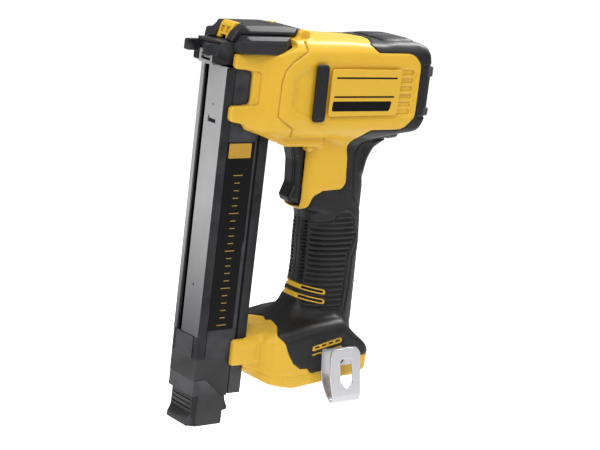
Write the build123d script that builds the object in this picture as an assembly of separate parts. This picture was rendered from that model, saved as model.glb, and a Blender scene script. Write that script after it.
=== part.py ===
from build123d import *
import os
from math import acos, cos, hypot, pi, radians, sin, tan

os.makedirs("parts", exist_ok=True)

# Cordless staple nailer, in millimetres. It fires towards -X, +Z is up, +Y is its right side and
# Y = 0 is the split plane of the housing. It is drawn with x = 0 at the magazine's front face and
# z = 0 at the middle of the grip. On export it moves once, so that the origin lies on the staple
# drive line, in the plane of the contact foot's face.

# ---- driving dimensions (HW: half width) ----
NOSE_REACH = 19.5        # contact foot's face ahead of the magazine
DRIVE_Z = 147.0          # height of the staple drive line
PLACE = Location((NOSE_REACH, 0, -DRIVE_Z))

BARREL_HW = 38.0
BARREL_LOW, BARREL_TOP, BARREL_REAR = 87.0, 166.0, 195.0
FOOT_HW = 38.0           # battery foot
WALL = 3.0               # housing wall
SKIN = 2.5               # soft overmould

MAG_DEPTH = 46.0         # front to rear
MAG_HW = 17.0
MAG_TOP, MAG_LOW = 141.0, -89.0
MAG_WALL = 2.4           # front and rear walls
MAG_BORE_HW = 14.4
FIT = 0.2                # side gap between magazine and housing

SHAFT_GAP = 0.05         # radial running clearance
PIN_R = 1.2              # small hinge pins
PIN_HOLE_R = PIN_R + SHAFT_GAP
TRIGGER_PIN_R = 2.0

# Pivots and the hook screw, as (x, z).
TRIGGER_PIVOT = (89.0, 78.0)
DOOR_PIVOT = (65.0, 169.4)
LATCH_PIVOT = (12.2, 170.9)
MAG_LATCH_PIVOT = (27.0, -127.0)
HOOK_SCREW = (125.0, -92.0)

# Gear train: the centres follow from the tooth counts.
MODULE = 1.0
PINION_T, IDLER_T, LIFT_T = 12, 36, 40
MOTOR = (148.0, 118.0)
IDLER = (MOTOR[0] - (PINION_T + IDLER_T) / 2 * MODULE, MOTOR[1])
LIFT = (IDLER[0] - (PINION_T + LIFT_T) / 2 * MODULE, MOTOR[1])


# ---- solids from ranges; the mid_ ones are centred on the split plane ----
def box(x0, x1, y0, y1, z0, z1):
    return Solid.make_box(x1 - x0, y1 - y0, z1 - z0, Plane((x0, y0, z0)))


def mid_box(x0, x1, half, z0, z1):
    return box(x0, x1, -half, half, z0, z1)


def cyl_x(y, z, r, x0, x1):
    return Solid.make_cylinder(r, x1 - x0, Plane(origin=(x0, y, z), z_dir=(1, 0, 0)))


def cyl_y(x, z, r, y0, y1):
    return Solid.make_cylinder(r, y1 - y0, Plane(origin=(x, y0, z), z_dir=(0, 1, 0)))


def mid_cyl(x, z, r, half):
    return cyl_y(x, z, r, -half, half)


def cyl_z(x, y, r, z0, z1):
    return Solid.make_cylinder(r, z1 - z0, Plane(origin=(x, y, z0), z_dir=(0, 0, 1)))


def tube_y(x, z, outer_r, inner_r, y0, y1):
    return cyl_y(x, z, outer_r, y0, y1) - cyl_y(x, z, inner_r, y0 - 1, y1 + 1)


def both(shape):
    """A shape and its mirror in the split plane."""
    return shape + shape.mirror(Plane.XZ)


# ---- outlines: lists of (u, v) or (u, v, corner radius) ----
def with_radius(points):
    return [(*p, 0) if len(p) == 2 else p for p in points]


def inset(points, depth):
    """Move every side of an outline inwards by depth."""
    if depth == 0:
        return points
    points = with_radius(points)
    pairs = list(zip(points, points[1:] + points[:1]))
    area = sum(p[0] * q[1] - q[0] * p[1] for p, q in pairs)
    turn = 1 if area > 0 else -1
    sides = []  # inward normal and distance along it
    for (u0, v0, _), (u1, v1, _) in pairs:
        length = hypot(u1 - u0, v1 - v0)
        nu, nv = -(v1 - v0) / length * turn, (u1 - u0) / length * turn
        sides.append((nu, nv, nu * u0 + nv * v0 + depth))
    moved = []
    for i, (_, _, radius) in enumerate(points):
        (au, av, ad), (bu, bv, bd) = sides[i - 1], sides[i]
        cross = au * bv - av * bu
        if radius > 0:
            convex = cross * turn > 0
            radius = max(radius - depth, 0.4) if convex else radius + depth
        moved.append(((ad * bv - av * bd) / cross, (au * bd - ad * bu) / cross, radius))
    return moved


def ring(points, place):
    """Closed wire along an outline; place maps (u, v) to a point."""
    points = with_radius(points)
    count = len(points)
    corners = []  # start, middle of the arc (None if sharp), end
    for i, (u, v, radius) in enumerate(points):
        before, after = points[i - 1], points[(i + 1) % count]
        au, av, bu, bv = before[0] - u, before[1] - v, after[0] - u, after[1] - v
        a_len, b_len = hypot(au, av), hypot(bu, bv)
        au, av, bu, bv = au / a_len, av / a_len, bu / b_len, bv / b_len
        half = acos(max(-1.0, min(1.0, au * bu + av * bv))) / 2
        if radius <= 0 or half > pi / 2 - 0.01:
            corners.append(((u, v), None, (u, v)))
            continue
        # The arc may take up just under half of either side.
        cut = min(radius / tan(half), 0.48 * min(a_len, b_len))
        radius = cut * tan(half)
        mu, mv = au + bu, av + bv
        reach = (radius / sin(half) - radius) / hypot(mu, mv)
        corners.append((
            (u + au * cut, v + av * cut),
            (u + mu * reach, v + mv * reach),
            (u + bu * cut, v + bv * cut),
        ))
    edges = []
    for i, (start, middle, end) in enumerate(corners):
        if middle:
            edges.append(Edge.make_three_point_arc(place(*start), place(*middle), place(*end)))
        following = corners[(i + 1) % count][0]
        if hypot(following[0] - end[0], following[1] - end[1]) > 1e-5:
            edges.append(Edge.make_line(place(*end), place(*following)))
    return Wire(edges)


def ring_x(points, x):
    return ring(points, lambda u, v: Vector(x, u, v))


def ring_z(points, z):
    return ring(points, lambda u, v: Vector(u, v, z))


def prism_x(points, x0, x1):
    """Section in (y, z) extruded along X."""
    return Solid.extrude(Face(ring_x(points, x0)), Vector(x1 - x0, 0, 0))


def prism(points, y0, y1):
    """Side profile in (x, z) extruded along Y."""
    wire = ring(points, lambda u, v: Vector(u, y0, v))
    return Solid.extrude(Face(wire), Vector(0, y1 - y0, 0))


def mid_prism(points, half):
    return prism(points, -half, half)


def prism_z(points, z0, z1):
    """Plan in (x, y) extruded along Z."""
    return Solid.extrude(Face(ring_z(points, z0)), Vector(0, 0, z1 - z0))


def round_rect(u0, u1, v0, v1, radius):
    return [(u0, v0, radius), (u1, v0, radius), (u1, v1, radius), (u0, v1, radius)]


def square_socket(x, z, half, y0, y1):
    return prism(round_rect(x - half, x + half, z - half, z + half, 0), y0, y1)


def around(centre, radius, count):
    """Points (x, z) evenly spaced on a circle, the first at 30 degrees."""
    angles = [radians(360 / count * k + 30) for k in range(count)]
    return [(centre[0] + radius * cos(a), centre[1] + radius * sin(a)) for a in angles]


def coil(start, direction, radius, wire_r, pitch, turns):
    """Round-wire coil whose axis begins at start and runs along direction."""
    path = Edge.make_helix(pitch, pitch * turns, radius)
    plane = Plane(origin=path.position_at(0), z_dir=path.tangent_at(0))
    swept = Solid.sweep(Wire.make_circle(wire_r, plane), path, is_frenet=True)
    x_dir = (0, 1, 0) if direction[0] else (1, 0, 0)
    return swept.moved(Location(Plane(origin=start, x_dir=x_dir, z_dir=direction)))


PRESSURE_ANGLE = radians(20)
ADDENDUM, DEDENDUM = 0.85 * MODULE, 1.2 * MODULE
BACKLASH = 0.32          # taken off each tooth's thickness at the pitch circle


def gear(centre, teeth, y0, y1, phase, bore):
    """Spur gear about a Y axis; a tooth is centred at phase degrees from +X towards +Z."""
    pitch_r = MODULE * teeth / 2
    base_r = pitch_r * cos(PRESSURE_ANGLE)
    tip_r, root_r = pitch_r + ADDENDUM, pitch_r - DEDENDUM
    pitch_half = pi / (2 * teeth) - BACKLASH / (2 * pitch_r)

    def involute(angle):
        return tan(angle) - angle

    def half_angle(r):
        rolled = involute(acos(base_r / r)) if r > base_r else 0
        return pitch_half + involute(PRESSURE_ANGLE) - rolled

    def point(r, angle):
        return centre[0] + r * cos(angle), centre[1] + r * sin(angle)

    flank_r = max(base_r, root_r + 0.01)
    radii = [root_r] + [flank_r + (tip_r - flank_r) * k / 4 for k in range(5)]
    points = []
    for i in range(teeth):
        middle = radians(phase) + 2 * pi * i / teeth
        points += [point(r, middle - half_angle(r)) for r in radii]
        points += [point(r, middle + half_angle(r)) for r in reversed(radii)]
    return prism(points, y0, y1) - cyl_y(*centre, bore, y0 - 1, y1 + 1)


def save(name, pieces):
    solids = []
    for piece in pieces if isinstance(pieces, list) else [pieces]:
        solids += list(piece.solids())
    assert solids, name
    out = solids[0] if len(solids) == 1 else Compound(children=solids)
    export_step(out.moved(PLACE), f"parts/{name}.step")


# ---- outer form of the housing, each part inset by depth ----
BARREL_SIDE = [
    (40, 84), (40, 170), (150, 167, 20), (183, 162, 16), (BARREL_REAR, 146, 14),
    (BARREL_REAR, 106, 12), (184, 94, 12), (150, 87, 20),
]
BARREL_PLAN = [
    (30, -BARREL_HW), (BARREL_REAR, -BARREL_HW, 16), (BARREL_REAR, BARREL_HW, 16),
    (30, BARREL_HW),
]
# z, centre x, half length, half width, corner radius
GRIP_STATIONS = [
    (97, 118.5, 30, 19.5, 12),
    (60, 119.2, 30.6, 19.3, 12),
    (42, 120.25, 32.25, 19, 12),
    (30, 125.0, 29.5, 19, 13),
    (0, 128.5, 28.4, 19, 14),
    (-20, 129.6, 27.9, 19, 14),
    (-36, 130, 28.6, 19.3, 14),
    (-46, 127.5, 31, 20, 14),
    (-55, 120.5, 29.5, 25, 14),
    (-60, 110.5, 31.5, 31, 16),
    (-64, 98.5, 37.5, 37.5, 18),
    (-72, 98.5, 38, 37.9, 18),
]
COLUMN_STATIONS = [(-44, 128.2, 30, 19.7, 14), (-92, 129, 29.5, 19.7, 14)]
FOOT_PLAN = [(50, -FOOT_HW, 26), (162, -FOOT_HW, 10), (162, FOOT_HW, 10), (50, FOOT_HW, 26)]
FOOT_SIDE = [
    (46, -62, 3), (131, -62, 6), (163, -90, 4), (160, -106, 4), (115, -113), (85, -116),
    (64, -112, 6), (46, -104, 6),
]
# Foot's nose, which reaches the magazine's rear flange.
FOOT_WEB = [(46.6, -58, 2), (64, -58, 2), (64, -106, 2), (46.6, -103, 2)]


def barrel(depth):
    section = inset(round_rect(-BARREL_HW, BARREL_HW, BARREL_LOW, BARREL_TOP, 18), depth)
    tip = inset(round_rect(-22, 22, 94, 160, 5), depth)
    length = prism_x(section, 50, BARREL_REAR - depth)
    side = mid_prism(inset(BARREL_SIDE, depth), 40)
    plan = prism_z(inset(BARREL_PLAN, depth), 80, 175)
    front = Solid.make_loft([ring_x(tip, 20 + depth), ring_x(section, 50.01)], ruled=True)
    return (length & side & plan) + front


def station_rings(stations, depth):
    return [
        ring_z(inset(round_rect(x - length, x + length, -width, width, radius), depth), z)
        for z, x, length, width, radius in stations
    ]


def grip(depth):
    rings = station_rings(GRIP_STATIONS, depth)
    out = Solid.make_loft(rings[:2], ruled=True)
    for i in range(1, len(rings) - 1):
        out = out + Solid.make_loft(rings[i:i + 2], ruled=True)
    return out + Solid.make_loft(station_rings(COLUMN_STATIONS, depth), ruled=True)


def foot(depth):
    plan = prism_z(inset(FOOT_PLAN, depth), -120, -58)
    return plan & mid_prism(inset(FOOT_SIDE, depth), 45)


def body(depth):
    return barrel(depth) + grip(depth) + foot(depth)


# ---- housing halves and their overmould ----
# Side outline of the overmould: rear bumper, neck rear, grip and top of the foot.
SOFT_SIDE = [
    (110, 180), (110, 168), (122, 163), (128, 158), (160, 158), (172, 153), (176, 145),
    (175, 105), (168, 97), (134, 95), (127, 88), (124, 78), (126, 70), (128, 50),
    (124, 43.5), (106, 43), (97, 35), (90, 27), (60, 27), (60, -40), (52, -50), (56, -58),
    (60, -67), (70, -75), (75, -85), (80, -93), (88, -98), (105, -101), (150, -92),
    (170, -89), (215, -85), (215, 180),
]
CHEEK = [(52, 92), (60, 80.5, 2), (92, 80), (92, 92)]
LUG = [(61.5, 160), (69.5, 160), (68.2, 172, 2.5), (62, 172, 2.5)]
PAD = [(70, 103, 2.5), (82, 103, 2.5), (81, 148, 2.5), (69, 148, 2.5)]
PLATE = [(86, 109, 2), (151, 109, 2), (151, 139, 2), (86, 139, 2)]
VENT_LOW, VENT_PITCH, VENT_HEIGHT, VENT_COUNT = 107.5, 6.2, 2.7, 6
# x, z, y of the head's seat
SCREWS = [
    (182, 146, 22), (182, 107, 22), (112, 84, 8), (128, 10, 8), (128, -38, 8),
    (62, 94.5, 24), (66, -80, 20), (150, -92.4, 24),
]
BOSS_R, SHANK_R, HEAD_R = 4.2, 1.6, 3.2
HOOK_BOSS_R = 5.0
ARM_IN, ARM_OUT = MAG_HW + FIT, 22   # y range of the arms beside the magazine


def side_pad_left():
    return prism(PAD, -BARREL_HW - 0.8, -BARREL_HW + 1.6)


def side_pad_right():
    return side_pad_left().mirror(Plane.XZ)


def name_plate_left():
    return prism(PLATE, -BARREL_HW - 0.15, -BARREL_HW + 0.9)


def name_plate_right():
    return name_plate_left().mirror(Plane.XZ)


def hard_shell(walls, trigger_slot, bay):
    # Cheeks that carry the trigger pin.
    hard = walls + both(prism(CHEEK, 9.4, 19.5))
    # Arms that clamp the magazine's head, and the bracket at its lower end.
    arms = box(1.5, 30, ARM_IN, ARM_OUT, 141.4, 152.9)
    arms = arms + box(1.5, 30, ARM_IN, ARM_OUT, 98.5, 112.5)
    arms = arms + box(21.5, 34, ARM_IN, ARM_OUT, 98.5, 152.9)
    hard = hard + both(arms) + both(box(31, 60, ARM_IN, ARM_OUT, -96, -74))
    # Room for the magazine, and for the cover and door above it.
    hard -= mid_box(-30, MAG_DEPTH + 0.4, MAG_HW + FIT, -125, 175)
    hard -= mid_box(-30, 52.2, 50, 153.2, 185)
    # Trigger opening, battery bay and its two rails.
    hard = hard - trigger_slot - bay + both(box(68, 150, 26.5, 31, -112, -108))
    # Door hinge lugs on top of the barrel, then the pin holes.
    hard = hard + both(prism(LUG, 18.4, 22) & box(50, 80, 0, 40, 163.5, 180))
    hard = hard - mid_cyl(*DOOR_PIVOT, PIN_R, 23) - mid_cyl(*TRIGGER_PIVOT, TRIGGER_PIN_R, 15)
    # Shallow pockets for the pads and plates, then the vents.
    hard = hard - both(side_pad_left()) - both(name_plate_left())
    for k in range(VENT_COUNT):
        z = VENT_LOW + VENT_PITCH * k
        hard -= both(box(158, 171, 20, 45, z, z + VENT_HEIGHT))
    return hard


def housing_half(hard, soft, limit, side):
    """Hard and soft shapes of one half: side is -1 for the left, 1 for the right."""
    def side_cyl(x, z, r, y0, y1):
        return cyl_y(x, z, r, *sorted((side * y0, side * y1)))

    half = box(-60, 260, *sorted((0, side * 80)), -200, 220)
    hard = hard & half
    soft = soft & half
    for x, z, seat in SCREWS:
        hard = hard + (side_cyl(x, z, BOSS_R, 0, 45) & limit)
        if side < 0:
            hard -= side_cyl(x, z, SHANK_R, -0.5, 12)
        else:
            head_hole = cyl_y(x, z, HEAD_R + 0.3, seat, 60)
            hard = hard - cyl_y(x, z, SHANK_R, -0.5, seat + 1) - head_hole
            soft -= head_hole
    # Each side of the foot has a boss for the belt hook.
    boss_in = FOOT_HW - 12
    soft -= side_cyl(*HOOK_SCREW, HOOK_BOSS_R, boss_in, FOOT_HW + 2)
    hard = hard + side_cyl(*HOOK_SCREW, HOOK_BOSS_R, boss_in, FOOT_HW)
    hard -= side_cyl(*HOOK_SCREW, 2.0, FOOT_HW - 9, FOOT_HW + 1)
    # Clear the front wall for the drive blade.
    return hard - mid_box(30, 62, 21, 138.5, 160), soft


def main_solids(shape):
    """Solids above 60 mm3, largest first; drops slivers left by the cuts."""
    solids = [s for s in shape.solids() if s.volume > 60.0]
    return sorted(solids, key=lambda s: -s.volume)


def save_housing():
    outer = body(0) + mid_prism(FOOT_WEB, 20)
    core = body(SKIN)
    cavity = body(SKIN + WALL)
    trigger_slot = mid_box(55, 101, 9.4, 28.5, 87.5)
    bay = mid_box(68, 175, 30.5, -125, -99)

    soft = (outer & mid_prism(SOFT_SIDE, 60)) - core
    rear_ribs = mid_box(194.0, 198.5, 20, 139, 147) + mid_box(194.0, 198.5, 20, 107, 113)
    soft = soft + (rear_ribs - core)
    soft -= trigger_slot
    hard = hard_shell(outer - soft - cavity, trigger_slot, bay)
    soft -= bay
    limit = outer - soft
    for side, name in ((-1, "left"), (1, "right")):
        half_hard, half_soft = housing_half(hard, soft, limit, side)
        save(f"housing_{name}", main_solids(half_hard)[0])
        save(f"grip_overmould_{name}", main_solids(half_soft))


def housing_screws():
    screws = []
    for x, z, seat in SCREWS:
        head = cyl_y(x, z, HEAD_R, seat, seat + 2.4)
        head -= square_socket(x, z, 0.9, seat + 1.0, seat + 3)
        screws.append(cyl_y(x, z, SHANK_R, -11.5, seat) + head)
    return screws


# ---- front cover, jam door and its latch ----
POD = [(3, 153.4, 1.5), (3, 161, 3), (9, 167, 4), (50, 167, 3), (52, 160, 2), (36, 153.4, 3)]
LENS_Y, LENS_Z = (21, 26.5), (156, 160)   # lens opening
LENS_GAP = 0.1
DOOR_SIDE = [
    (0.5, 161, 0.8), (4.6, 168, 3), (11.5, 173.8, 4), (48, 173.8, 12), (66.5, 171.6, 2),
    (66.5, 167.4), (18, 167.4), (18, 161),
]
DOOR_SECTION = [
    (-22, 150), (-22, 169.6, 2), (-16.5, 173.9, 2), (16.5, 173.9, 2), (22, 169.6, 2), (22, 150),
]
DOOR_PLAN = [
    (0, -16), (9, -16, 2), (14, -22, 3), (56, -22, 3), (60, -18), (75, -18),
    (75, 18), (60, 18), (56, 22, 3), (14, 22, 3), (9, 16, 2), (0, 16),
]
DOOR_HOLLOW = [(18, 160), (18, 168.2), (20, 170.6, 2), (46, 170.6, 2), (58, 169.3), (58, 160)]
LATCH_SIDE = [
    (3.8, 161.2, 0.6), (7.2, 172.0, 1.5), (9.0, 174.4, 2), (14.6, 174.4, 1.8),
    (14.6, 168.4, 0.8), (9.6, 168.4, 1), (6.6, 161.2, 0.6),
]
LATCH_RECESS = [(0, 165.2), (6.4, 165.2), (7.8, 170), (0, 170)]


def front_cover():
    cover = both(prism(POD, 17.6, 30)) + mid_box(46, 52, 18, 161.5, 167)
    cover -= both(box(8, 44, 20, 27.5, 155.5, 165))
    return cover - both(box(2, 9, *LENS_Y, *LENS_Z))


def work_light_lenses():
    y0, y1 = LENS_Y[0] + LENS_GAP, LENS_Y[1] - LENS_GAP
    z0, z1 = LENS_Z[0] + LENS_GAP, LENS_Z[1] - LENS_GAP
    return [box(3.2, 5.0, y0, y1, z0, z1), box(3.2, 5.0, -y1, -y0, z0, z1)]


def jam_door():
    door = mid_prism(DOOR_SIDE, 22) & prism_x(DOOR_SECTION, -5, 75)
    door = door & prism_z(DOOR_PLAN, 150, 180)
    door -= both(box(-5, 19, 16.05, 40, 150, 167.4))
    door -= mid_prism(DOOR_HOLLOW, 14)
    door -= mid_box(-12, 16.2, 8.2, 158, 176)       # notch for the latch
    door = door + mid_cyl(*DOOR_PIVOT, 2.6, 18)     # hinge barrel
    return door - mid_cyl(*DOOR_PIVOT, PIN_HOLE_R, 30) - mid_cyl(*LATCH_PIVOT, PIN_R, 13.5)


def jam_door_pin():
    return mid_cyl(*DOOR_PIVOT, PIN_R, 22)


def jam_latch():
    latch = mid_prism(LATCH_SIDE, 8) - mid_cyl(*LATCH_PIVOT, PIN_HOLE_R, 20)
    latch -= box(-1, 12, -3.6, 3.2, 160, 163.6)
    for y0, y1 in ((-5.2, -1.0), (1.0, 5.2)):
        latch -= prism(LATCH_RECESS, y0, y1)
    return latch


def jam_latch_pin():
    return mid_cyl(*LATCH_PIVOT, PIN_R, 13.4)


# ---- nose block, its plate and the forked contact foot ----
NOSE_LOW, NOSE_TOP = 142, 157.6
NOSE_CHANNEL_HW = 6.2
PRONG = [
    (-NOSE_REACH, 150, 0.8), (-NOSE_REACH, 158.4, 1.5), (6, 158.4), (6, 143.2, 0.8),
    (-10, 143.2, 1.2), (-10, 150, 1.0),
]


def nose_channel(x0, x1):
    return mid_box(x0, x1, NOSE_CHANNEL_HW, 144.6, 149.6)


def nose_block():
    nose = mid_box(-8, 30, 9, NOSE_LOW, NOSE_TOP) - nose_channel(-9, 31)
    nose -= mid_box(3, 40, NOSE_CHANNEL_HW, 141, 145)
    return nose + both(box(22, 30, 8.9, 16.6, NOSE_LOW, NOSE_TOP))


def nose_plate():
    return mid_box(-9.4, -8, 8.6, NOSE_LOW, 152.2) - nose_channel(-10, -7)


def contact_trip():
    trip = both(prism(PRONG, 9.5, 15)) + mid_box(-7.4, 6, 15, 158.2, 160.4)
    return trip + mid_box(5, 44, 5, 158.2, 160.4) + mid_box(42, 44, 5, 158.2, 160.9)


# ---- magazine ----
STRIP_LOW = -71
STRIP_BACK = 1.0                      # x of the front strips' rear face
STRIP_LEFT = -16.4                    # y of the wide strip's left edge
SIGHT_LEFT, SIGHT_RIGHT = 6.4, 13.0   # y range of the sight slot
LABEL_Y = -16.85                      # floor of the label pocket
CAP_FRONT = [(-0.01, -106), (12, -106), (29, -121), (33.6, -121), (33.6, -89), (-0.01, -89)]
CAP_REAR = [(33.5, -89), (33.5, -120), (46, -120), (46, -89)]
PULL_SIDE = [
    (0.4, -106.4), (11.8, -106.4), (28.8, -121.4), (30.5, -121.4), (30.5, -144.5, 1.5),
    (-1.0, -144.5, 1), (-1.0, -140, 1), (2.4, -133.5, 1), (2.4, -120), (0.4, -119),
]
PULL_CORNER = [(-4, -20), (6, -20), (6, -16.9), (1.2, -13.2), (-4, -13.2)]   # x, y
MAG_LATCH_SIDE = [
    (25, -124, 1.5), (30, -122.3, 1), (37, -122.3, 1.5), (38.6, -129, 2), (41.2, -134.5, 1),
    (41, -136.6, 0.8), (31.2, -138.2, 1), (31.2, -131, 1), (25, -130, 1.5),
]
ARROW = [(-9, 97.2), (1.5, 97.2), (1.5, 103), (-1.5, 100.2), (-9, 100.2)]    # y, z


def magazine_bore(z0, z1):
    return mid_box(MAG_WALL, MAG_DEPTH - MAG_WALL, MAG_BORE_HW, z0, z1)


def magazine_body():
    low, top = MAG_LOW - 1, MAG_TOP + 1   # cuts run past both ends
    shell = mid_box(0, MAG_DEPTH, MAG_HW, MAG_LOW, MAG_TOP) - magazine_bore(low, top)
    shell -= box(-1, 3, SIGHT_LEFT, SIGHT_RIGHT, STRIP_LOW, top)
    shell -= box(-1, STRIP_BACK, STRIP_LEFT, SIGHT_LEFT, STRIP_LOW, top)
    shell -= box(-1, STRIP_BACK, SIGHT_RIGHT, 17.5, STRIP_LOW, top)
    shell -= box(-1, 3, -11.2, 12.4, -90, STRIP_LOW)     # gap for the end cap's tongue
    shell -= both(box(35.2, 37.6, 16.2, 18, low, top))   # grooves before the rear flange
    shell -= both(box(7.7, 8.3, 16.6, 18, low, top))
    return shell - box(9.8, 33.2, -17.5, LABEL_Y, 5, 84)   # label pocket on the left


def magazine_front_strip():
    top = MAG_TOP + 0.6
    strip = box(-0.5, STRIP_BACK, STRIP_LEFT, SIGHT_LEFT, STRIP_LOW, top)
    strip -= cyl_x(-3.5, 111, 0.9, -2, 3)
    strip -= prism_x(ARROW, -2, 3)
    strip -= cyl_x(-3, -31, 1.0, -2, 3)
    return [strip, box(-0.5, STRIP_BACK, SIGHT_RIGHT, MAG_HW, STRIP_LOW, top)]


def magazine_label():
    return box(9.9, 33.1, -17.12, LABEL_Y, 5.1, 83.9)


def magazine_end_cap():
    cap = mid_prism(CAP_FRONT, MAG_HW) + mid_prism(CAP_REAR, MAG_HW)
    cap -= magazine_bore(-125, -88)
    cap = cap + box(-0.5, 1.6, -10.8, 12.0, -89.5, -71.6)   # tongue
    return cap - both(box(33.2, 34.4, 16.2, 18, -125, -88))


def magazine_track():
    """Square tube slotted along its front, with a flange at the bottom."""
    rail = mid_box(6, 38, 5, -112, 138) - mid_box(7.6, 36.4, 3.4, -113, 139)
    rail -= mid_box(5, 9, 1.5, -104, 132)
    return rail + mid_box(5, 40, 12, -112, -107)


def magazine_pull():
    pull = mid_prism(PULL_SIDE, MAG_HW) - both(prism_z(PULL_CORNER, -150, -119))
    pull -= mid_box(4.6, 40.4, 12.4, -112.01, -90)
    pull -= mid_box(24, 31, 9, -141, -121)
    for k in range(3):   # grooves across the front
        pull -= mid_box(0, 3.2, 13.0, -131.4 + 3.6 * k, -130.2 + 3.6 * k)
    return pull - mid_cyl(*MAG_LATCH_PIVOT, PIN_R, 14)


def magazine_latch():
    latch = mid_prism(MAG_LATCH_SIDE, 8.6) - mid_cyl(*MAG_LATCH_PIVOT, PIN_HOLE_R, 20)
    return latch - mid_cyl(*MAG_LATCH_PIVOT, 3.4, 4.4)   # room for the spring


def magazine_latch_pin():
    return mid_cyl(*MAG_LATCH_PIVOT, PIN_R, 13.5)


def magazine_latch_spring():
    x, z = MAG_LATCH_PIVOT
    return coil((x, -3.6, z), (0, 1, 0), radius=2.4, wire_r=0.4, pitch=1.2, turns=6)


def staple_pusher():
    pusher = mid_box(4, 41, 9, 112, 134) - mid_box(5.9, 38.1, 5.1, 111, 135)
    pusher = pusher + mid_box(4, 12, 1.3, 114, 130)
    return pusher + box(2.9, 4.2, 7.0, 8.9, 112, 134)


def pusher_spring():
    """Rolled ribbon with its free end hanging down in front."""
    return tube_y(22, 129.5, 5.6, 3.4, -3.0, 3.0) + mid_box(16.4, 16.9, 3.0, 114, 129.5)


# ---- trigger ----
TRIGGER_SIDE = [
    (73.5, 79.5, 1), (78.5, 76.5, 3), (82.4, 66, 8), (84.0, 47, 5), (79.8, 36.0, 1.5),
    (82, 31.8, 2), (93, 30.4, 2), (95.0, 78, 3), (91, 84.5, 3), (76, 84.5, 2),
]
TRIGGER_HOLLOW = [(86.5, 37, 2), (98, 37), (98, 69), (86.5, 69, 2)]


def trigger():
    body_part = mid_prism(TRIGGER_SIDE, 9) - mid_prism(TRIGGER_HOLLOW, 6.5)
    body_part -= mid_cyl(*TRIGGER_PIVOT, TRIGGER_PIN_R + SHAFT_GAP, 20)
    return body_part - mid_cyl(*TRIGGER_PIVOT, 4.6, 5.2)   # room for the spring


def trigger_pin():
    return mid_cyl(*TRIGGER_PIVOT, TRIGGER_PIN_R, 15)


def trigger_spring():
    x, z = TRIGGER_PIVOT
    return coil((x, -4.4, z), (0, 1, 0), radius=3.3, wire_r=0.5, pitch=1.4, turns=6)


def trigger_switch():
    return mid_box(104, 130, 11, 44, 72) + mid_box(101.5, 104, 4, 56, 64)


# ---- drive: frame, rods, carriage, blade, bumper and springs ----
FRAME_IN, FRAME_OUT = 23, 26          # y range of the side plates
FRAME_SIDE = [
    (54, 104, 3), (54, 158, 3), (160, 158, 3), (172, 140, 4), (172, 104, 3), (160, 100, 3),
    (66, 100, 3),
]
ROD_Y, ROD_Z, ROD_R = 13.0, 151.0, 3.0
BEARING_R, MOTOR_SHAFT_R, IDLER_SHAFT_R, LIFT_SHAFT_R = 6.5, 2.5, 3.0, 4.0


def rods(radius, x0, x1):
    return [cyl_x(side * ROD_Y, ROD_Z, radius, x0, x1) for side in (-1, 1)]


def blade_bar(x0, x1):
    return mid_box(x0, x1, 5.6, DRIVE_Z - 1.1, DRIVE_Z + 1.1)


def blade_slot(x0, x1):
    return mid_box(x0, x1, 6.6, 144.4, 149.8)


def carriage_block(x0, x1):
    return mid_box(x0, x1, 20, 143.4, 157.8)


def drive_frame():
    frame = both(prism(FRAME_SIDE, FRAME_IN, FRAME_OUT))
    for x in (54, 150):   # crossbars
        frame = frame + mid_box(x, x + 4, 23.5, 143, 158)
    frame -= blade_slot(53, 59)
    for rod in rods(ROD_R, 53, 155):
        frame -= rod
    frame -= mid_cyl(*LIFT, LIFT_SHAFT_R + SHAFT_GAP, 30)
    frame -= mid_cyl(*IDLER, IDLER_SHAFT_R, 30)
    return frame - mid_cyl(*MOTOR, BEARING_R, 30)


def guide_rods():
    return rods(ROD_R, 54, 154)


def driver_carriage():
    carriage = carriage_block(64.2, 90) + box(66, 88, -9, -3, 135.2, 143.6)
    for x in (68.5, 75.5, 82.5):   # notches in the rack below
        carriage -= prism([(x, 134.5), (x + 3, 139.6), (x + 6, 134.5)], -10, -2)
    for rod in rods(ROD_R + SHAFT_GAP, 60, 95):
        carriage -= rod
    return carriage - blade_bar(60, 72)


def driver_blade():
    return blade_bar(-7.5, 72)


def drive_bumper():
    bumper = carriage_block(58, 64) - blade_slot(57, 65)
    for rod in rods(ROD_R + 0.1, 50, 70):
        bumper -= rod
    return bumper


def drive_springs():
    return [
        coil((91.2, side * ROD_Y, ROD_Z), (1, 0, 0), radius=4.9, wire_r=1.0, pitch=7.1, turns=8)
        for side in (-1, 1)
    ]


# ---- motor and gear train, all on Y axes ----
FIRST_MESH = (10, 14)                 # y range of motor pinion and idler wheel


def motor_stator():
    stator = tube_y(*MOTOR, 22.0, 12.2, -15, 6)
    for x, z in around(MOTOR, 15.6, 6):
        stator -= cyl_y(x, z, 2.6, -16, 9)
    return stator + tube_y(*MOTOR, 20.2, 12.8, -17.5, 8)


def motor_rotor():
    return tube_y(*MOTOR, 11.6, MOTOR_SHAFT_R, -14, 5)


def motor_shaft():
    return mid_cyl(*MOTOR, MOTOR_SHAFT_R, 25.8) + gear(MOTOR, PINION_T, *FIRST_MESH, 0, 2.0)


def motor_fan():
    fan = cyl_y(*MOTOR, 5, -22.2, -18.6)
    for k in range(9):
        blade = box(4, 18.5, -22.0, -18.6, -0.6, 0.6).rotate(Axis.Y, 40 * k)
        fan = fan + blade.moved(Location((MOTOR[0], 0, MOTOR[1])))
    fan = fan + tube_y(*MOTOR, 19.5, 17.0, -19.4, -18.4)
    return fan - cyl_y(*MOTOR, MOTOR_SHAFT_R, -24, -17)


def motor_bearings():
    return [
        tube_y(*MOTOR, BEARING_R, MOTOR_SHAFT_R + SHAFT_GAP, y0, y1)
        for y0, y1 in ((-FRAME_OUT, -FRAME_IN), (FRAME_IN, FRAME_OUT))
    ]


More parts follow.
